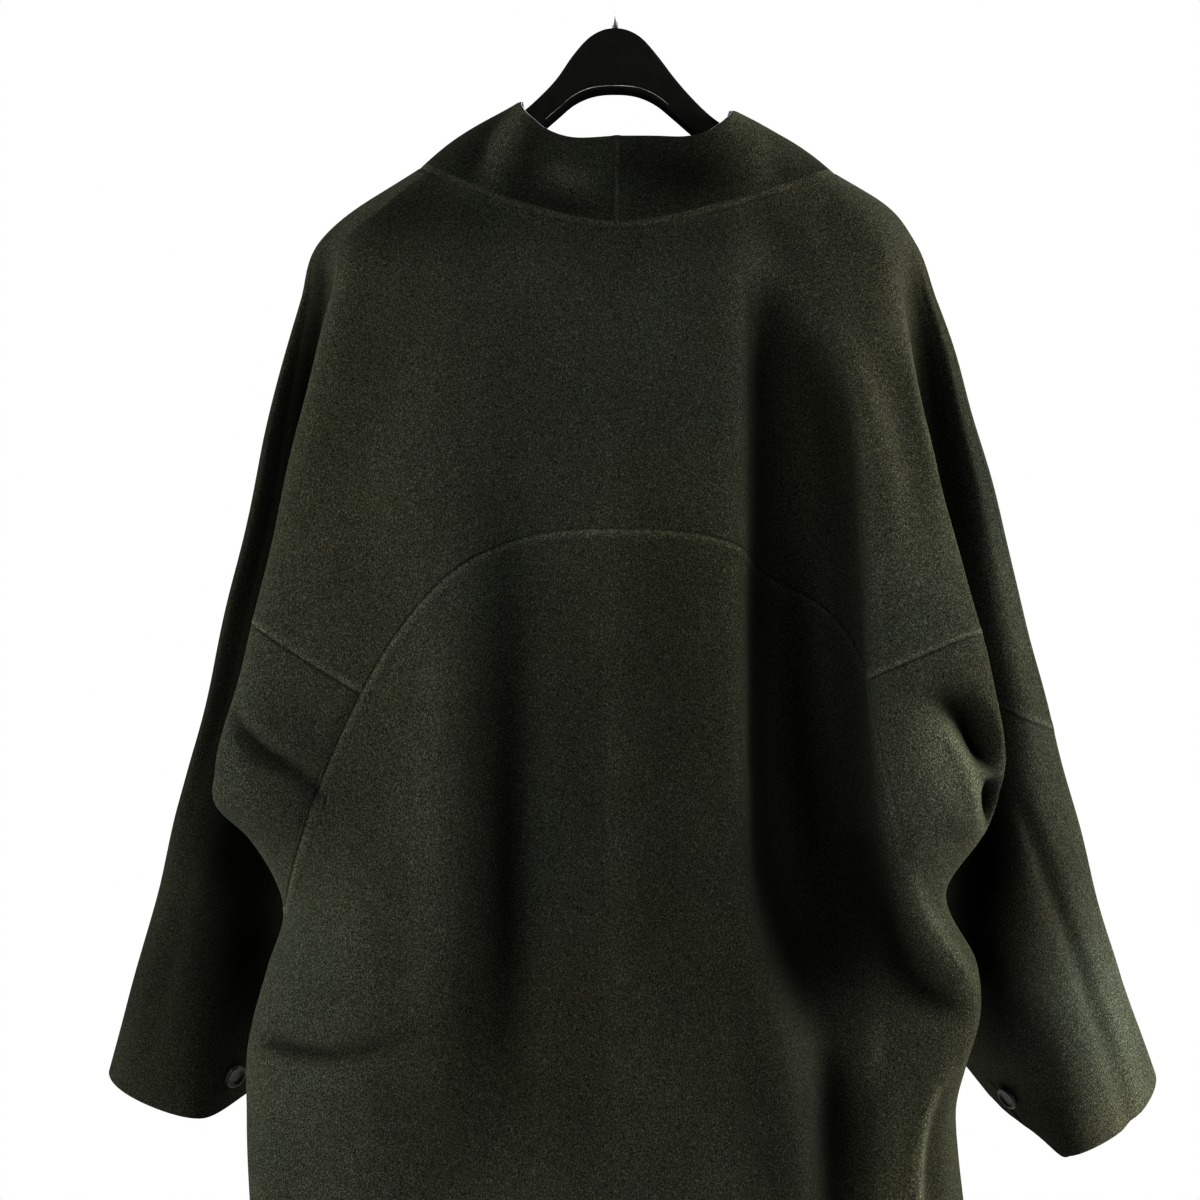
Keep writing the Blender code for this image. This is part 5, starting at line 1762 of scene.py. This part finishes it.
@dataclass
class Hanger:
    """Moulded bar with a hump, skinned over its sections, and its wire hook."""

    sections: int = 120
    ring_points: int = 32
    tip_roundness: float = 0.65
    hump_half: float = 0.050
    hump_blend: float = 0.030
    hump_square: float = 0.82
    hook_radius: float = 0.0022
    hook_bend: float = 0.0170
    hook_tip_turn: float = 205.0
    hook_neck_turn: float = -55.0
    hook_steps: int = 60
    hook_foot: float = -0.0700
    hook_stem: tuple = ((0.0058, -0.0385), (0.0022, -0.0425), (0.0004, -0.0470), (0.0, -0.0520))
    hook_roundness: int = 5
    # Strip painted pale as a highlight along the near face's lower edge.
    line_span: tuple = (-0.0470, 0.0360)
    line_above: float = 0.0028
    line_half: float = 0.0004
    line_tuck: float = 1.5
    line_rise: float = 0.0003
    line_steps: int = 70

    def corner(self, turn_across: float, turn_up: float, across: float) -> tuple[float, float]:
        """Point of a section's outline, squarer at the hump than at the tips.

        Args:
            turn_across: Cosine of the point's turn.
            turn_up: Sine of the point's turn.
            across: Where the section stands.

        Returns:
            Depth and height on a section of half size one.
        """
        soft = [math.copysign(abs(turn) ** self.tip_roundness, turn) for turn in (turn_across, turn_up)]
        longest = max(abs(turn_across), abs(turn_up))
        round_share = 1.0 - self.hump_square
        crisp = [turn * (round_share + self.hump_square / longest) for turn in (turn_across, turn_up)]
        share = float(smooth_step((self.hump_half + self.hump_blend - abs(across)) / self.hump_blend))
        return tuple(a + (b - a) * share for a, b in zip(soft, crisp))

    def bar(self, material: bpy.types.Material) -> bpy.types.Object:
        """Make the bar.

        Args:
            material: Its finish.

        Returns:
            The bar.
        """
        spots = np.linspace(BARS[0].across, BARS[-1].across, self.sections)
        spots = np.unique(np.concatenate([spots, column(BARS, "across")]))
        table = blend(column(BARS, "across"), [bar[1:] for bar in BARS], spots)
        shape = bmesh.new()
        rings = []
        for k, (across, (top, foot, half_deep)) in enumerate(zip(spots, table)):
            ends = k in (0, len(spots) - 1)
            made = bmesh.ops.create_circle(shape, cap_ends=ends, segments=self.ring_points, radius=1.0)
            ring = made["verts"]
            for vert in ring:
                depth, height = self.corner(vert.co.x, vert.co.y, across)
                vert.co = (across, depth * half_deep, 0.5 * (top + foot) + height * 0.5 * (top - foot))
            rings.append(list({edge for vert in ring for edge in vert.link_edges}))
        for one, two in zip(rings, rings[1:]):
            bmesh.ops.bridge_loops(shape, edges=one + two)
        return add_piece("hanger_bar", shape, [material])

    def line(self, bar: bpy.types.Object, material: bpy.types.Material) -> bpy.types.Object:
        """Fine raised strip painted pale as a highlight, just above the lower edge of the near face.

        Args:
            bar: The bar that carries it.
            material: Its finish.

        Returns:
            The line.
        """
        spots = fan(*self.line_span, self.line_steps)
        path = blend(column(BARS, "across"), [(row.across, row.foot) for row in BARS], spots)
        corners = [vert.co for vert in bar.data.vertices]
        ground = BVHTree.FromPolygons(corners, [face.vertices for face in bar.data.polygons])
        shape = new_grid(len(path), 3)
        for vert in shape.verts:
            side = round(vert.co.y) - 1
            x, z = path[round(vert.co.x)]
            height = z + self.line_above + side * self.line_half
            found, _, _, _ = ground.ray_cast(Vector((x, -1.0, height)), Vector((0.0, 1.0, 0.0)))
            vert.co = found - Vector((0.0, self.line_rise * (1.0 - self.line_tuck * abs(side)), 0.0))
        for vert in pushed(shape):
            vert.co.y += self.line_half
        return add_piece("hanger_painted_highlight", shape, [material])

    def hook(self, material: bpy.types.Material) -> bpy.types.Object:
        """Wire hook from its tip over the crown and down to the hump.

        Args:
            material: Its finish.

        Returns:
            The hook.
        """
        bend = self.hook_bend + self.hook_radius
        turns = np.radians(fan(self.hook_tip_turn, self.hook_neck_turn, self.hook_steps))
        path = [(bend * math.cos(turn), bend * math.sin(turn) - self.hook_bend) for turn in turns]
        path += [*self.hook_stem, (0.0, self.hook_foot)]
        wire = bpy.data.curves.new("hook_wire", "CURVE")
        wire.dimensions = "3D"
        wire.bevel_depth = self.hook_radius
        wire.bevel_resolution = self.hook_roundness
        wire.use_fill_caps = True
        spline = wire.splines.new("POLY")
        spline.points.add(len(path) - 1)
        for point, (across, height) in zip(spline.points, path):
            point.co = (across, 0.0, height, 1.0)
        draft = bpy.data.objects.new("hook_wire", wire)
        bpy.context.scene.collection.objects.link(draft)
        shape = bmesh.new()
        shape.from_mesh(draft.to_mesh())
        draft.to_mesh_clear()
        bpy.data.objects.remove(draft, do_unlink=True)
        bmesh.ops.remove_doubles(shape, verts=shape.verts, dist=SAME_HEIGHT)
        return add_piece("hook_wire", shape, [material])


class Turned(NamedTuple):
    """One point of a turned profile."""

    radius: float
    height: float


@dataclass
class Button:
    """Round cuff button with a raised rim, lying on the sleeve."""

    form: CoatForm
    hand: Hand
    off: float = 0.0012
    steps: int = 48
    profile: tuple = rows_of(
        Turned, (0, 2.4), (3, 2.35), (5.2, 2.4), (6.2, 2.9), (6.9, 3.7), (7.6, 4), (8.3, 3.7), (8.8, 2.8),
        (8.7, 1.6), (7.8, 0.5), (6, 0.1), (0, 0),
    )

    def build(self, material: bpy.types.Material) -> bpy.types.Object:
        """Turn the button and lay it on the cuff.

        Args:
            material: Its finish.

        Returns:
            The button.
        """
        shape = bmesh.new()
        verts = [shape.verts.new((row.radius, 0.0, row.height)) for row in self.profile]
        edges = [shape.edges.new(ends) for ends in zip(verts, verts[1:])]
        bmesh.ops.spin(
            shape, geom=verts + edges, cent=(0.0, 0.0, 0.0), axis=(0.0, 0.0, 1.0), dvec=(0.0, 0.0, 0.0),
            angle=2.0 * math.pi, steps=self.steps, use_merge=True, use_duplicate=False,
        )
        bmesh.ops.remove_doubles(shape, verts=shape.verts, dist=SAME_HEIGHT)
        place, height = (np.array([value]) for value in BUTTON_AT[self.hand])
        points, normals, _ = self.form.laid(self.hand, Zone.SLEEVE, place, height)
        face = Vector(normals[0])
        turn = face.to_track_quat("Z", "Y").to_matrix().to_4x4()
        turn.translation = Vector(points[0]) + face * self.off
        bmesh.ops.transform(shape, matrix=turn, verts=shape.verts)
        return add_piece(f"{self.hand.value}_cuff_button", shape, [material])


NOISE_ROUGH = 0.6
# Sockets of a mix node that take the share, the first value and the second.
MIX_NUMBERS, MIX_COLOURS = (0, 2, 3), (0, 6, 7)
MIXED_COLOUR = 2
WHITE = (1.0, 1.0, 1.0, 1.0)


class Speckle(NamedTuple):
    """Random pattern: where it starts, how it is squeezed upright, and how much detail it has."""

    start: tuple
    tall: float
    detail: float


class Bench:
    """Node tree with short ways to add and join nodes."""

    def __init__(self, tree: bpy.types.NodeTree) -> None:
        """Take over a tree."""
        self.tree = tree

    def add(self, kind: str, settings: dict | None = None, **inputs: object) -> bpy.types.Node:
        """Add a node.

        Args:
            kind: Node type.
            settings: Properties of the node.
            **inputs: Socket values or sockets to join, by socket name with _ for a space.

        Returns:
            The node.
        """
        node = self.tree.nodes.new(kind)
        for name, value in (settings or {}).items():
            setattr(node, name, value)
        self.fill(node, **inputs)
        return node

    def fill(self, node: bpy.types.Node, **inputs: object) -> None:
        """Set or join several sockets, by socket name with _ for a space."""
        for name, value in inputs.items():
            self.feed(node, name.replace("_", " "), value)

    def feed(self, node: bpy.types.Node, name: str | int, value: object) -> None:
        """Set a socket to a value, or join another socket to it."""
        if isinstance(value, bpy.types.NodeSocket):
            self.tree.links.new(value, node.inputs[name])
        else:
            node.inputs[name].default_value = value

    def mix(self, share: object, one: object, two: object, way: str = "MIX") -> bpy.types.NodeSocket:
        """Mix two colours.

        Args:
            share: Share of the second.
            one: First colour.
            two: Second colour.
            way: How they mix.

        Returns:
            The mixed colour.
        """
        node = self.add("ShaderNodeMix", {"data_type": "RGBA", "blend_type": way})
        for index, value in zip(MIX_COLOURS, (share, one, two)):
            self.feed(node, index, value)
        return node.outputs[MIXED_COLOUR]

    def noise(self, vector: object, scale: object, kind: Speckle) -> bpy.types.NodeSocket:
        """Even random pattern.

        Args:
            vector: Where on the piece it is looked up.
            scale: How fine it is.
            kind: Which pattern.

        Returns:
            Its value.
        """
        spot = self.add("ShaderNodeMapping", Vector=vector, Location=kind.start, Scale=(1.0, 1.0, kind.tall))
        node = self.add("ShaderNodeTexNoise", Vector=spot.outputs[0], Scale=scale, Detail=kind.detail)
        self.feed(node, "Roughness", NOISE_ROUGH)
        return node.outputs[0]

    def between(self, value: object, *span: float) -> bpy.types.NodeSocket:
        """Stretch one range of values on to another, given as both ends of the first and of the second."""
        node = self.add("ShaderNodeMapRange", {"clamp": True})
        for index, number in enumerate((value, *span)):
            self.feed(node, index, number)
        return node.outputs[0]


# Tints between which the wool drifts from place to place.
WARM_WOOL = (1.02, 1.0, 0.91, 1.0)
COOL_WOOL = (0.96, 1.0, 1.02, 1.0)
# Spans of each pattern, and what each is stretched on to.
LIGHT_FLECKS = (0.47, 0.66, 0.0, 1.0)
DARK_FLECKS = (0.47, 0.64, 0.0, 0.9)
CLOUDS = (0.28, 0.72, 0.86, 1.12)
DRIFTS = (0.38, 0.62, 0.0, 1.0)
SCUFFS = (0.35, 0.70, 0.0, 1.0)
CLOUD_SCALE, DRIFT_SCALE, SCUFF_SCALE = 17.0, 5.0, 90.0
LIGHT_HAIRS = Speckle((0.0, 0.0, 0.0), 0.7, 2.0)
DARK_HAIRS = Speckle((7.3, 2.1, 5.7), 0.7, 2.0)
CLOUDING = Speckle((1.7, 8.8, 3.1), 0.6, 4.0)
NAP = Speckle((4.4, 6.2, 9.9), 0.45, 3.0)
DRIFTING = Speckle((5.1, 3.3, 7.7), 1.0, 2.0)
SCUFFING = Speckle((3.0, 1.0, 2.0), 1.0, 5.0)
PORES = Speckle((0.0, 0.0, 0.0), 1.0, 2.0)


def new_group(name: str, takes: dict, gives: dict) -> tuple[Bench, bpy.types.bpy_prop_collection]:
    """Start a node group.

    Args:
        name: Its name.
        takes: Kinds of its inputs, by name.
        gives: Kinds of its outputs, by name.

    Returns:
        Its bench and the sockets of what it takes.
    """
    tree = bpy.data.node_groups.new(name, "ShaderNodeTree")
    for way, sockets in (("INPUT", takes), ("OUTPUT", gives)):
        for socket, kind in sockets.items():
            tree.interface.new_socket(socket, in_out=way, socket_type=f"NodeSocket{kind}")
    bench = Bench(tree)
    return bench, bench.add("NodeGroupInput").outputs


def heather_group() -> bpy.types.NodeTree:
    """Group that flecks a wool with lighter and darker hairs and gives the height of its nap.

    Returns:
        The group.
    """
    takes = {"Vector": "Vector", "Colour": "Color", "Light Hair": "Color", "Dark Hair": "Color"}
    takes["Grain"] = "Float"
    bench, given = new_group("heathered_nap", takes, {"Colour": "Color", "Height": "Float"})
    spot, grain = given["Vector"], given["Grain"]
    light, dark, nap = (bench.noise(spot, grain, kind) for kind in (LIGHT_HAIRS, DARK_HAIRS, NAP))
    cloud = bench.noise(spot, CLOUD_SCALE, CLOUDING)
    tone = bench.mix(bench.between(light, *LIGHT_FLECKS), given["Colour"], given["Light Hair"])
    tone = bench.mix(bench.between(dark, *DARK_FLECKS), tone, given["Dark Hair"])
    cloudy = bench.add("ShaderNodeCombineColor")
    shade = bench.between(cloud, *CLOUDS)
    for index in range(3):
        bench.feed(cloudy, index, shade)
    tone = bench.mix(1.0, tone, cloudy.outputs[0], "MULTIPLY")
    drift = bench.noise(spot, DRIFT_SCALE, DRIFTING)
    tint = bench.mix(bench.between(drift, *DRIFTS), WARM_WOOL, COOL_WOOL)
    bench.add("NodeGroupOutput", Colour=bench.mix(1.0, tone, tint, "MULTIPLY"), Height=nap)
    return bench.tree


def grain_group() -> bpy.types.NodeTree:
    """Group that gives a hard finish its faint scuffs and unevenness.

    Returns:
        The group.
    """
    takes = {"Vector": "Vector", "Colour": "Color", "Worn Colour": "Color"}
    takes |= {"Smooth": "Float", "Rough": "Float", "Grain": "Float"}
    gives = {"Colour": "Color", "Roughness": "Float", "Height": "Float"}
    bench, given = new_group("fine_scuffs", takes, gives)
    scuff = bench.noise(given["Vector"], SCUFF_SCALE, SCUFFING)
    pore = bench.noise(given["Vector"], given["Grain"], PORES)
    spread = bench.between(scuff, *SCUFFS)
    rough = bench.add("ShaderNodeMix", {"data_type": "FLOAT"})
    for index, value in zip(MIX_NUMBERS, (spread, given["Smooth"], given["Rough"])):
        bench.feed(rough, index, value)
    colour = bench.mix(spread, given["Colour"], given["Worn Colour"])
    bench.add("NodeGroupOutput", Colour=colour, Roughness=rough.outputs[0], Height=pore)
    return bench.tree


def fresh_material(name: str) -> tuple[bpy.types.Material, Bench, bpy.types.Node]:
    """Start a material.

    Args:
        name: Its name.

    Returns:
        The material, its bench and its shader.
    """
    material = bpy.data.materials.new(name)
    material.use_nodes = True
    return material, Bench(material.node_tree), material.node_tree.nodes["Principled BSDF"]


def solid(colour: tuple) -> tuple:
    """Colour that lets nothing through."""
    return (*colour, 1.0)


@dataclass(frozen=True)
class WoolFinish:
    """Napped double-face wool."""

    name: str
    colour: tuple
    light_hair: tuple
    dark_hair: tuple
    sheen_tint: tuple
    sheen: float = 0.05
    sheen_roughness: float = 0.45
    roughness: float = 0.92
    specular: float = 0.0
    grain: float = 1350.0
    nap_height: float = 0.0009
    nap_strength: float = 0.55
    # How dark full painted shade makes the colour, how far painted light (negative shade) brightens it, and
    # the colour of full painted shade as a share of the dark hairs.
    painted_shade_depth: float = 0.99
    painted_light_gain: float = 2.2
    deep_share: float = 0.02

    def material(self, group: bpy.types.NodeTree) -> bpy.types.Material:
        """Make the finish.

        Args:
            group: Heathered nap.

        Returns:
            The material.
        """
        material, bench, shader = fresh_material(self.name)
        spot = bench.add("ShaderNodeTexCoord").outputs["Object"]
        heather = bench.add(
            "ShaderNodeGroup", {"node_tree": group}, Vector=spot, Colour=solid(self.colour),
            Light_Hair=solid(self.light_hair), Dark_Hair=solid(self.dark_hair), Grain=self.grain,
        ).outputs
        # The cloth's shade attribute paints shade into the colour, down to near black, and paints light where
        # it is negative.
        painted_shade = bench.add("ShaderNodeAttribute", {"attribute_name": "painted_shade"}).outputs["Fac"]
        gain = bench.between(painted_shade, -1.0, 0.0, self.painted_light_gain, 1.0)
        tone = bench.add("ShaderNodeVectorMath", {"operation": "SCALE"}, Vector=heather["Colour"], Scale=gain)
        shade = bench.between(painted_shade, 0.0, 1.0, 0.0, self.painted_shade_depth)
        deep = solid(tuple(self.deep_share * part for part in self.dark_hair))
        bump = bench.add(
            "ShaderNodeBump", Height=heather["Height"], Strength=self.nap_strength, Distance=self.nap_height
        )
        bench.fill(
            shader, Base_Color=bench.mix(shade, tone.outputs[0], deep), Normal=bump.outputs[0],
            Roughness=self.roughness, Specular_IOR_Level=self.specular, Sheen_Weight=self.sheen,
            Sheen_Roughness=self.sheen_roughness, Sheen_Tint=solid(self.sheen_tint),
        )
        return material


@dataclass(frozen=True)
class HardFinish:
    """Moulded, turned or plated surface with faint scuffs."""

    name: str
    colour: tuple
    worn_colour: tuple
    smooth: float
    rough: float
    metallic: float = 0.0
    grain: float = 1400.0
    pore_height: float = 0.0002
    pore_strength: float = 0.15
    specular: float = 0.5

    def material(self, group: bpy.types.NodeTree) -> bpy.types.Material:
        """Make the finish.

        Args:
            group: Fine scuffs.

        Returns:
            The material.
        """
        material, bench, shader = fresh_material(self.name)
        spot = bench.add("ShaderNodeTexCoord").outputs["Object"]
        scuffs = bench.add(
            "ShaderNodeGroup", {"node_tree": group}, Vector=spot, Colour=solid(self.colour),
            Worn_Colour=solid(self.worn_colour), Smooth=self.smooth, Rough=self.rough, Grain=self.grain,
        ).outputs
        bump = bench.add(
            "ShaderNodeBump", Height=scuffs["Height"], Strength=self.pore_strength, Distance=self.pore_height
        )
        bench.fill(
            shader, Base_Color=scuffs["Colour"], Roughness=scuffs["Roughness"], Metallic=self.metallic,
            Specular_IOR_Level=self.specular, Normal=bump.outputs[0],
        )
        return material


OLIVE_WOOL = WoolFinish(
    "olive_wool", (0.0304, 0.0320, 0.0225), (0.0938, 0.0970, 0.0702), (0.0073, 0.0078, 0.0054),
    (0.75, 0.78, 0.62),
)
ICE_WOOL = WoolFinish(
    "ice_wool", (0.46, 0.53, 0.58), (0.60, 0.66, 0.70), (0.34, 0.41, 0.46), (0.9, 0.95, 1.0), sheen=0.2
)
HANGER_PLASTIC = HardFinish(
    "hanger_plastic", (0.009, 0.009, 0.008), (0.012, 0.012, 0.0105), 0.42, 0.55, specular=0.0
)
# Pale finish of the hanger's painted highlight strip, with faint darker scuffs.
HIGHLIGHT_PLASTIC = HardFinish(
    "painted_highlight_plastic", (0.42, 0.40, 0.36), (0.02, 0.02, 0.018), 0.42, 0.55, specular=0.0
)
HOOK_CHROME = HardFinish("hook_chrome", (0.76, 0.77, 0.78), (0.70, 0.71, 0.72), 0.30, 0.42, metallic=1.0)
BUTTON_HORN = HardFinish(
    "button_horn", (0.010, 0.010, 0.009), (0.022, 0.021, 0.017), 0.30, 0.44, grain=500.0, specular=0.22
)
FLOOR_PAINT = HardFinish("floor_paint", (0.74, 0.74, 0.73), (0.68, 0.68, 0.67), 0.55, 0.70, grain=60.0)


class Lamp(NamedTuple):
    """One soft studio light, turned toward the middle of the coat."""

    name: str
    place: tuple
    size: float
    power: float


LAMPS = (
    Lamp("front_left", (-1.264, -1.506, 0.877), 0.7, 53.0),
    Lamp("side_left", (-2.354, -0.415, -0.709), 0.9, 76.0),
    Lamp("side_right", (2.255, 0.0, 0.321), 1.2, 156.0),
    Lamp("front_right", (1.798, -1.509, -0.999), 0.7, 21.0),
    Lamp("behind", (0.6, 2.20, 0.60), 1.4, 110.0),
)


@dataclass
class Studio:
    """Camera, soft lights, white surround and pale floor."""

    eye: tuple = (-0.0102, -1.8, -0.4576)
    lens: float = 79.41
    lamp_aim: tuple = (0.0, 0.0, -0.5)
    sensor: float = 36.0
    floor_height: float = -1.62
    floor_radius: float = 1.7
    floor_thick: float = 0.02
    floor_sides: int = 96
    floor_round: float = 0.006
    floor_cuts: int = 3
    surround: float = 0.03
    mirrored: float = 1.0
    gamma: float = 0.76

    def camera(self) -> None:
        """Set the camera square on to the back."""
        data = bpy.data.cameras.new("camera")
        data.sensor_width = self.sensor
        data.lens = self.lens
        camera = bpy.data.objects.new("camera", data)
        camera.location = self.eye
        camera.rotation_euler = (0.5 * math.pi, 0.0, 0.0)
        bpy.context.scene.collection.objects.link(camera)
        bpy.context.scene.camera = camera

    def lights(self) -> None:
        """Hang the soft lights."""
        for lamp in LAMPS:
            data = bpy.data.lights.new(lamp.name, "AREA")
            data.shape = "DISK"
            data.size = lamp.size
            data.energy = lamp.power
            light = bpy.data.objects.new(lamp.name, data)
            light.location = lamp.place
            aim = Vector(self.lamp_aim) - Vector(lamp.place)
            light.rotation_euler = aim.to_track_quat("-Z", "Y").to_euler()
            bpy.context.scene.collection.objects.link(light)

    def world(self) -> None:
        """White backdrop that lights the coat only a little and shows paler in hard finishes."""
        world = bpy.data.worlds.new("studio")
        world.use_nodes = True
        bpy.context.scene.world = world
        bench = Bench(world.node_tree)
        world.node_tree.nodes.clear()
        rays = bench.add("ShaderNodeLightPath").outputs
        shown = bench.add("ShaderNodeBackground", Color=WHITE, Strength=1.0)
        strength = bench.between(rays["Is Glossy Ray"], 0.0, 1.0, self.surround, self.mirrored)
        cast = bench.add("ShaderNodeBackground", Color=WHITE, Strength=strength)
        mixed = bench.add("ShaderNodeMixShader")
        for index, socket in enumerate((rays["Is Camera Ray"], cast.outputs[0], shown.outputs[0])):
            bench.feed(mixed, index, socket)
        bench.add("ShaderNodeOutputWorld", Surface=mixed.outputs[0])
        settings = bpy.context.scene.view_settings
        settings.view_transform = "Standard"
        settings.gamma = self.gamma

    def floor(self, material: bpy.types.Material) -> None:
        """Pale round floor well below the hem."""
        shape = bmesh.new()
        bmesh.ops.create_cone(
            shape, cap_ends=True, segments=self.floor_sides, radius1=self.floor_radius,
            radius2=self.floor_radius, depth=self.floor_thick,
        )
        rims = [edge for edge in shape.edges if abs(edge.verts[0].co.z - edge.verts[1].co.z) < SAME_HEIGHT]
        bmesh.ops.bevel(
            shape, geom=rims, offset=self.floor_round, affect="EDGES", segments=self.floor_cuts, profile=0.5,
            material=-1,
        )
        bmesh.ops.translate(shape, vec=(0.0, 0.0, self.floor_height), verts=shape.verts)
        floor = add_piece("floor", shape, [material])


@dataclass
class Coat:
    """All the cloth of the coat with its seams and buttons."""

    form: CoatForm
    wool: list
    button: bpy.types.Material

    def build(self) -> None:
        """Lay and sew the panels, band their seams and put on the buttons."""
        seats = Seating(self.form)
        body = Body(seats)
        panels = {cloth.name: cloth for cloth in [body.back(), Yoke(seats).back()]}
        for hand in HANDS:
            for cloth in (body.front(hand), Sleeve(seats, hand).panel(), Collar(seats, hand).panel()):
                panels[cloth.name] = cloth
        for name, cloth in panels.items():
            piece = cloth.sew(self.wool, self.form.wall)
            piece.name = f"{name}_cloth"
            settle_piece(piece, (name,))
        bands = self.bands(seats, panels)
        for name, cloth in panels.items():
            flat, area = cloth.cut()
            log.info("%s: cut %.3f by %.3f m, %.3f square metres", name, *flat, area)
        for hand in HANDS:
            piece = Button(self.form, hand).build(self.button)
            settle_piece(piece, (f"{hand.value}_button",))

    def bands(self, seats: Seating, panels: dict) -> dict:
        """Band every seam.

        Args:
            seats: Rows and columns of the panels.
            panels: Laid panels by name.

        Returns:
            Bands by the panel that carries them.
        """
        seams = Seams(seats)
        plan = [
            ("back_panel", seams.arch(), ("back_panel", "back_yoke", "left_sleeve", "right_sleeve")),
            ("right_collar", seams.collar_centre(panels["right_collar"]), ("left_collar", "right_collar")),
        ]
        for hand in HANDS:
            side = hand.value
            plan += [
                ("back_yoke", seams.sleeve(hand), ("back_yoke", f"{side}_front", f"{side}_sleeve")),
                ("back_yoke", seams.over_arm(hand), ("back_yoke", f"{side}_front")),
                (f"{side}_collar", seams.neck(hand), (f"{side}_collar", "back_yoke", f"{side}_front")),
                (f"{side}_front", seams.armhole(hand), (f"{side}_front", f"{side}_sleeve")),
                ("back_panel", seams.side(hand), ("back_panel", f"{side}_front")),
            ]
        made = {}
        for carrier, band, ground in plan:
            piece = band.build([panels[name] for name in ground], self.wool[0])
            settle_piece(piece)
            made.setdefault(carrier, []).append(piece)
        return made


def main() -> None:
    """Build the coat, its hanger and the studio."""
    logging.basicConfig(level=logging.INFO, format="%(message)s", stream=sys.stdout)
    studio = Studio()
    studio.camera()
    nap, scuffs = heather_group(), grain_group()
    wool = [OLIVE_WOOL.material(nap), ICE_WOOL.material(nap)]
    Coat(CoatForm(folds=FOLDS), wool, BUTTON_HORN.material(scuffs)).build()
    for fold in FOLDS + COLLAR_FOLDS:
        log.info("fold laid by hand: %s %s", fold.hand.value, fold.name)
    hanger = Hanger()
    bar = hanger.bar(HANGER_PLASTIC.material(scuffs))
    settle_piece(bar, ("hanger",))
    # Pale strip on the bar, a painted highlight.
    settle_piece(hanger.line(bar, HIGHLIGHT_PLASTIC.material(scuffs)))
    settle_piece(hanger.hook(HOOK_CHROME.material(scuffs)), ("hanger_hook",))
    studio.lights()
    studio.world()
    studio.floor(FLOOR_PAINT.material(scuffs))


if __name__ == "__main__":
    main()
